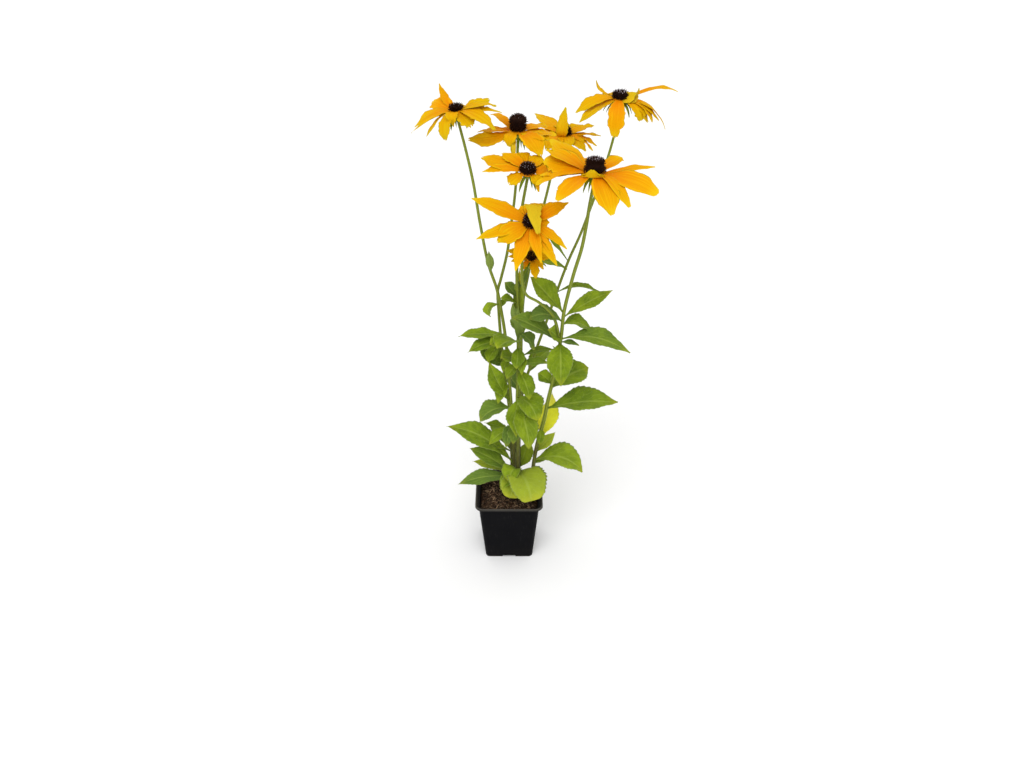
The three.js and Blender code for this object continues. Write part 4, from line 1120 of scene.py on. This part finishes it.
stemRows, shootRows = 110, 50
hairs = {"Density": 0.42, "Length": 1.3, "Width": 0.1, "Spread": 0.5}
softLeaves = {  # small leaves that the solids leave out, counted on after a stem's own
    "a": ((200, 255, 30, -18, 14, 18, 0, 0), (300, 250, 16, -10, 8, 12, 0, 0)),
    "b": ((150, 215, 26, 16, 4, 12, 0, 0), (290, 300, 24, -12, 8, 15, 0, 0),
          (262, 250, 26, -22, 10, 18, 0, 0)),
    "c": ((245, 262, 32, -38, 12, 26, 0, 0), (300, 232, 22, -14, 8, 17, 0, 0),
          (318, 285, 22, -22, 6, 15, 0, 0), (330, 262, 10, 60, 0, 13, 20, 0),
          (345, 235, 12, 48, 0, 12, -30, 0), (205, 250, 22, -16, 10, 18, 0, 0),
          (124, 252, 38, -12, 10, 36, 8, 0)),
    "f": ((200, 262, 14, -18, 8, 12, 0, 0), (330, 240, 14, 14, 2, 9, 0, 0)),
}
bluntLeaves = {("c", 2): 0.34, ("c", 1): 0.6, ("b", 3): 0.6, ("c", 21): 0.3}  # by stem and count
paleLeaves = {  # the tints of single leaves
    ("a", 7): 0.24, ("b", 0): 0.55, ("b", 1): 0.2, ("c", 0): 0.0, ("c", 1): 0.14, ("c", 2): 0.58,
    ("c", 4): 0.12, ("c", 7): 0.2, ("c", 11): 0.4, ("c", 21): 0.56, ("d", 0): 0.3, ("f", 1): 0.25,
    ("f", 2): 0.6, ("f", 9): 0.15,
}


def makeStem(name, seed):
    draw = seededDraw(seed)
    draw(0, 1)  # the first draw of a small seed is always low
    route = routeTo(name, stems[name]["route"])
    pile = newPile()
    addSkin(pile, *tubeSkin(route, stems[name]["radius"], stemRows), 1)
    for place, leaf in enumerate(stems[name]["leaves"] + softLeaves.get(name, ())):
        tint = paleLeaves.get((name, place), draw(-0.5, 0.25))
        point = bluntLeaves.get((name, place))
        addSkin(pile, *leafSkin(pointAtHeight(route, leaf[0]), leaf, tint, draw, point))
    for key, shoot in shoots.items():
        if shoot["from"] == name:
            addSkin(pile, *tubeSkin(routeTo(key, shoot["route"]), shoot["radius"], shootRows), 1)
    for key, flower in flowers.items():
        if flower["stem"] == name:
            addCup(pile, key, flower)
    piece = makePiece("leafyStem" + name.upper(), pile, [leafFinish, stemFinish])
    grow(piece, hairTree, {**hairs, "Seed": seed, "Finish": hairFinish})
    settle(piece, "stem_" + name)


for place, name in enumerate(stems):
    makeStem(name, seeds["stems"] + place)


def makeYellowLeaf():
    pile = newPile()
    leaf = (0, *(yellowLeaf[key] for key in ("turn", "reach", "rise", "lift", "wide", "roll")), 0)
    addSkin(pile, *leafSkin(yellowLeaf["root"], leaf, yellowLeaf["tint"], seededDraw(seeds["yellowLeaf"])))
    piece = makePiece("witheredLeafPiece", pile, [witheredFinish])
    own = {**hairs, "Density": yellowLeaf["hairs"], "Seed": seeds["yellowHairs"], "Finish": hairFinish}
    grow(piece, hairTree, own)
    settle(piece, "leaf_yellow")


makeYellowLeaf()
print("stems and leaves made")


# Blooms

petalEdges = {"a": 1.15, "b": 0.9, "c": 1.2, "d": 1.0, "e": 1.0, "f": 0.4, "g": 0.8, "h": 0.9}  # how jagged
petalTints = {"a": -0.75, "b": -0.05, "c": 0.0, "d": -0.35, "e": -0.45, "f": 0.6, "g": 0.15, "h": 0.1}
foldTints = {  # the tints of single petals
    ("a", 3): 0.6, ("a", 4): 1.2, ("b", 7): -0.2, ("b", 8): -1.7, ("b", 9): -0.4, ("b", 10): -1.0,
    ("c", 8): -1.2, ("e", 7): 0.8, ("e", 11): -1.5, ("f", 9): -1.1, ("g", 12): -1.6,
}
softPetals = {  # small petals that the solids leave out, counted on after a bloom's own
    "b": ((272, 27, -28, 5, {"root": 215, "elbow": (17, -4), "blunt": 0.2, "tint": -1.6}),
          (300, 12, -7, 9, {"root": 300, "elbow": (10, 7), "blunt": 0.8, "tint": -0.8})),
    "e": ((0, 22, 9, 15, {"root": 245, "elbow": (10, 3), "roll": -35, "blunt": 0.6, "tint": -1.45}),
          (346, 49, -20, 12), (335, 39, -20, 14, {"blunt": 0.6})),
    "f": ((153, 60, 18, 22),), "g": ((305, 49, -10, 6),),
}


def makePetals(key, flower):
    draw = seededDraw(seeds["petals"] + ord(key))  # the solids' draws
    extra = seededDraw(seeds["frays"] + ord(key))  # those of the frayed edges and tints
    extra(0, 1)  # low again
    cone, jagged = flower["cone"][0], petalEdges[key]
    pile = newPile()
    foot, top = head["collarFoot"], head["collarTop"]
    lower = [(0, foot), (0.8 * cone, foot), (0.92 * cone, foot + 0.4)]
    collar = [*lower, (0.97 * cone, 0), (0.92 * cone, top - 0.4), (0.8 * cone, top), (0, top)]
    skinned = turnedSkin(collar, head["collarSides"])
    skinned[1][..., valueNames.index("along")] = 0.05  # as orange as the feet of the petals
    addHeadSkin(pile, flower, skinned)
    for place, (turn, reach, rise, wide, *rest) in enumerate(flower["petals"] + softPetals.get(key, ())):
        own = rest[0] if rest else {}
        rootTurn = math.radians(own.get("root", turn))
        start = head["petalRoot"] * cone
        long = reach if "root" in own else reach - start
        upper = place % 2
        arch = (head["arch"][upper] + draw(-0.01, 0.01)) * abs(reach)
        cup = draw(0, 0.1)
        roll = own["roll"] if "roll" in own else draw(-8, 8)
        wave = draw(0.2, 0.5)
        phase, edgeLift, rag = extra(0, 6), extra(-0.5, 0.5), extra(0.5, 1.3)
        shift, tear, tearAt = extra(-0.12, 0.12), max(0, extra(-0.25, 0.3)), extra(0.5, 0.9)
        tearSide, blunt = extra(-1, 1), own.get("blunt", flower["blunt"])
        sickle, tipCurl = extra(-1, 1) * petalForm["sickle"], extra(-1, 0.6) * petalForm["tipCurl"]

        def outline(v, u):
            foot, peak, tip = 0.36 - 0.06 * blunt, 0.42 + 0.13 * blunt, 0.1 + 0.3 * blunt
            body = foot + (1 - foot) * np.sin(0.5 * math.pi * np.minimum(1, v / peak))
            body = body * (1 - (1 - tip) * np.maximum(0, (v - peak) / (1 - peak)) ** (1.5 + 1.3 * blunt))
            torn = tear * groove(v - tearAt, 0.035) * (u * tearSide > 0)
            frill = sum(deep * np.sin(often * v + phase * (order + 1) + (order + 2) * np.sign(u))
                        for order, (deep, often) in enumerate(zip(petalForm["frill"], (9, 23, 47))))
            return body * (1 + frill * jagged * smooth(v, 0.1, 0.4) - torn)

        def relief(u, v, face, half):
            edge = np.abs(u)
            body = smooth(half, 0.8, 4)
            groovePair = groove(edge - 0.36, 0.12) * (1 - 0.4 * v)
            height = -petalForm["pleat"] * groovePair * body
            height = height + 0.1 * np.sin(26 * u + phase) * body
            height = height + edgeLift * edge**2 * v * np.minimum(half, 6) * 0.22
            curl = np.sin(7 * v + phase + 1.5 * np.sign(u)) + 0.5 * np.sin(17 * v + 2 * phase - np.sign(u))
            height = height + petalForm["curl"] * curl * edge**2.5 * v * smooth(half, 1, 6)
            height = height + tipCurl * smooth(v, 0.65, 1) * smooth(half + 6 * v, 3, 9)
            notch = groove(u - shift, 0.16) + 0.6 * groove(edge - 0.62, 0.14)
            ragged = petalForm["ragged"] * rag * jagged * notch * smooth(v, 0.82, 1) * smooth(half, 0.5, 2)
            rounded = 0.8 * half * (1 - np.sqrt(1 - edge**2)) * smooth(v, 0.75, 1)
            return height, -ragged - rounded

        tint = foldTints.get((key, place), own.get("tint", petalTints[key] + extra(-0.6, 0.6)))
        form = {
            **petalForm, "turn": turn, "wide": wide, "roll": roll, "cup": cup, "wave": wave,
            "sickle": sickle, "tint": tint, "tip": (long, rise),
            "root": (start * math.cos(rootTurn), start * math.sin(rootTurn), (upper - 0.5) * head["layer"]),
            "elbow": own.get("elbow", (0.5 * long, 0.25 * rise + arch)),
        }
        addHeadSkin(pile, flower, bladeSkin(form, outline, relief))
    piece = makePiece("petalRing" + key.upper(), pile, [petalFinish])
    settle(piece, "petals_" + key)


florets = {"Length": 2.5, "Width": 1.05, "Tip": 0.1, "From": -0.62, "To": 0.998, "Rise": 0.35, "Spread": 0.3}
floretChanges = {
    "a": {"Length": 4.2, "Width": 1.2, "Tip": 0.05, "Spread": 0.8, "Rise": 1.0},
    "b": {"Length": 3.1, "Width": 1.5, "Spread": 0.4, "Round": 0.8},
    "e": {"Length": 2.1, "Spread": 0.2, "Rise": 0.2},
    "f": {"Length": 1.9, "Width": 0.95, "Spread": 0.2, "Rise": 0.1, "Round": 0.26},
}
coneFits = {"a": (7.0, 4.2, 0.96), "b": (8.1, 17.5, 1.36), "h": (5.6, 6.6, 0.9)}  # closer than the solids
styles = {"Length": 2.9, "Width": 0.42, "Tip": 0.7, "From": 0.42, "To": 0.995, "Rise": 0.8, "Spread": 0.35}
fringe = {"Length": 3.4, "Width": 0.6, "Tip": 0.9, "From": 0.5, "To": 0.97, "Rise": 3.0, "Spread": 0.3}
styleCounts = {"a": 10, "b": 16, "c": 26, "d": 16, "e": 22, "f": 42, "g": 34, "h": 60}
fringedCones, amberCones = "ef", "h"
coneForm = {"sides": 28, "skin": (0.88, 1.2), "seat": (0.92, 1.4), "count": (150, 1.05)}  # share and sink
domeRows = ((0, 0), (0.8, 0), (0.93, 0.08), (1, 0.2), (1, 0.4), (1, 0.6), (0.985, 0.74),
            (0.95, 0.85), (0.86, 0.93), (0.7, 0.98), (0.4, 1), (0, 0.985))  # shares of radius and height


def makeCone(key, flower):
    radius, height, crown = coneFits.get(key, flower["cone"])
    (skinShare, skinSink), (seatShare, seatSink) = coneForm["skin"], coneForm["seat"]
    fewest, more = coneForm["count"]
    profile = [(skinShare * r * radius * (1 - (1 - crown) * h), head["coneFoot"] + h * (height - skinSink))
               for r, h in domeRows]
    pile = newPile()
    addSkin(pile, *turnedSkin(profile, coneForm["sides"]))
    piece = makePiece("floretCone" + key.upper(), pile, [coneFinish])
    sizes = {"Radius": seatShare * radius, "Height": height - seatSink, "Level": head["coneFoot"],
             "Crown": crown}
    count = int(fewest + more * radius * (radius + height))
    own = {**florets, **floretChanges.get(key, {}), "Count": count, "Seed": ord(key), "Finish": coneFinish}
    grow(piece, floretTree, {**own, **sizes})
    own = {**(fringe if key in fringedCones else styles), "Count": styleCounts[key],
           "Seed": ord(key) + seeds["styles"], "Finish": amberFinish if key in amberCones else styleFinish}
    grow(piece, floretTree, {**own, **sizes})
    turned, at = flowerFrame(flower)
    matrix = Matrix(turned.T.tolist()).to_4x4()
    matrix.translation = at * mm
    piece.data.transform(matrix)
    settle(piece, "cone_" + key)


for key, flower in flowers.items():
    makePetals(key, flower)
    makeCone(key, flower)
print("blooms made")


# Studio: a pale floor, soft light and the photograph's view

studio = {
    "floorSize": 12.0, "sky": colour(1.0, 1.0, 1.0), "skyStrength": 0.85,
    "lens": 36, "sensor": 36, "view": (0.0041, -1.148, 0.9692), "pitch": 58.56, "farthest": 100,
    "sun": (-0.15, -1.0, 1.4), "sunSpread": 40, "sunPower": 1.25, "transform": "Standard",
}
floorLook = {
    "rough": 0.9, "gloss": 0.5, "patches": (400.0, 30.0), "bump": (0.05, 0.1),
    "pale": colour(0.95, 0.95, 0.95), "grey": colour(0.85, 0.85, 0.85),
}


def makeFloor():
    half = studio["floorSize"] / 2
    mesh = bpy.data.meshes.new("studioFloor")
    corners = [(-half, -half, 0), (half, -half, 0), (half, half, 0), (-half, half, 0)]
    mesh.from_pydata(corners, [], [(0, 1, 2, 3)])
    material, _, broad, fine, _ = newFinish("palePaper", floorLook)
    base = mixColour(broad * 0.03 + fine * 0.01, floorLook["pale"], floorLook["grey"])
    mesh.materials.append(endFinish(material, floorLook, base, fine))
    addPiece("studioFloor", mesh)


def makeStudio():
    world = bpy.data.worlds.new("softSky")
    bpy.context.scene.world = world
    world.use_nodes = True
    sky = world.node_tree.nodes["Background"]
    sky.inputs["Color"].default_value = studio["sky"]
    sky.inputs["Strength"].default_value = studio["skyStrength"]
    light = bpy.data.lights.new("keyLight", "SUN")
    light.angle, light.energy = math.radians(studio["sunSpread"]), studio["sunPower"]
    lamp = addPiece("keyLight", light)
    lamp.location = studio["sun"]
    lamp.rotation_euler = lamp.location.to_track_quat("Z", "Y").to_euler()
    lens = bpy.data.cameras.new("photoView")
    lens.lens, lens.sensor_width, lens.clip_end = studio["lens"], studio["sensor"], studio["farthest"]
    camera = addPiece("photoView", lens)
    camera.location = studio["view"]
    camera.rotation_euler = (math.radians(studio["pitch"]), 0, 0)
    bpy.context.scene.camera = camera
    bpy.context.scene.view_settings.view_transform = studio["transform"]


makeFloor()
makeStudio()
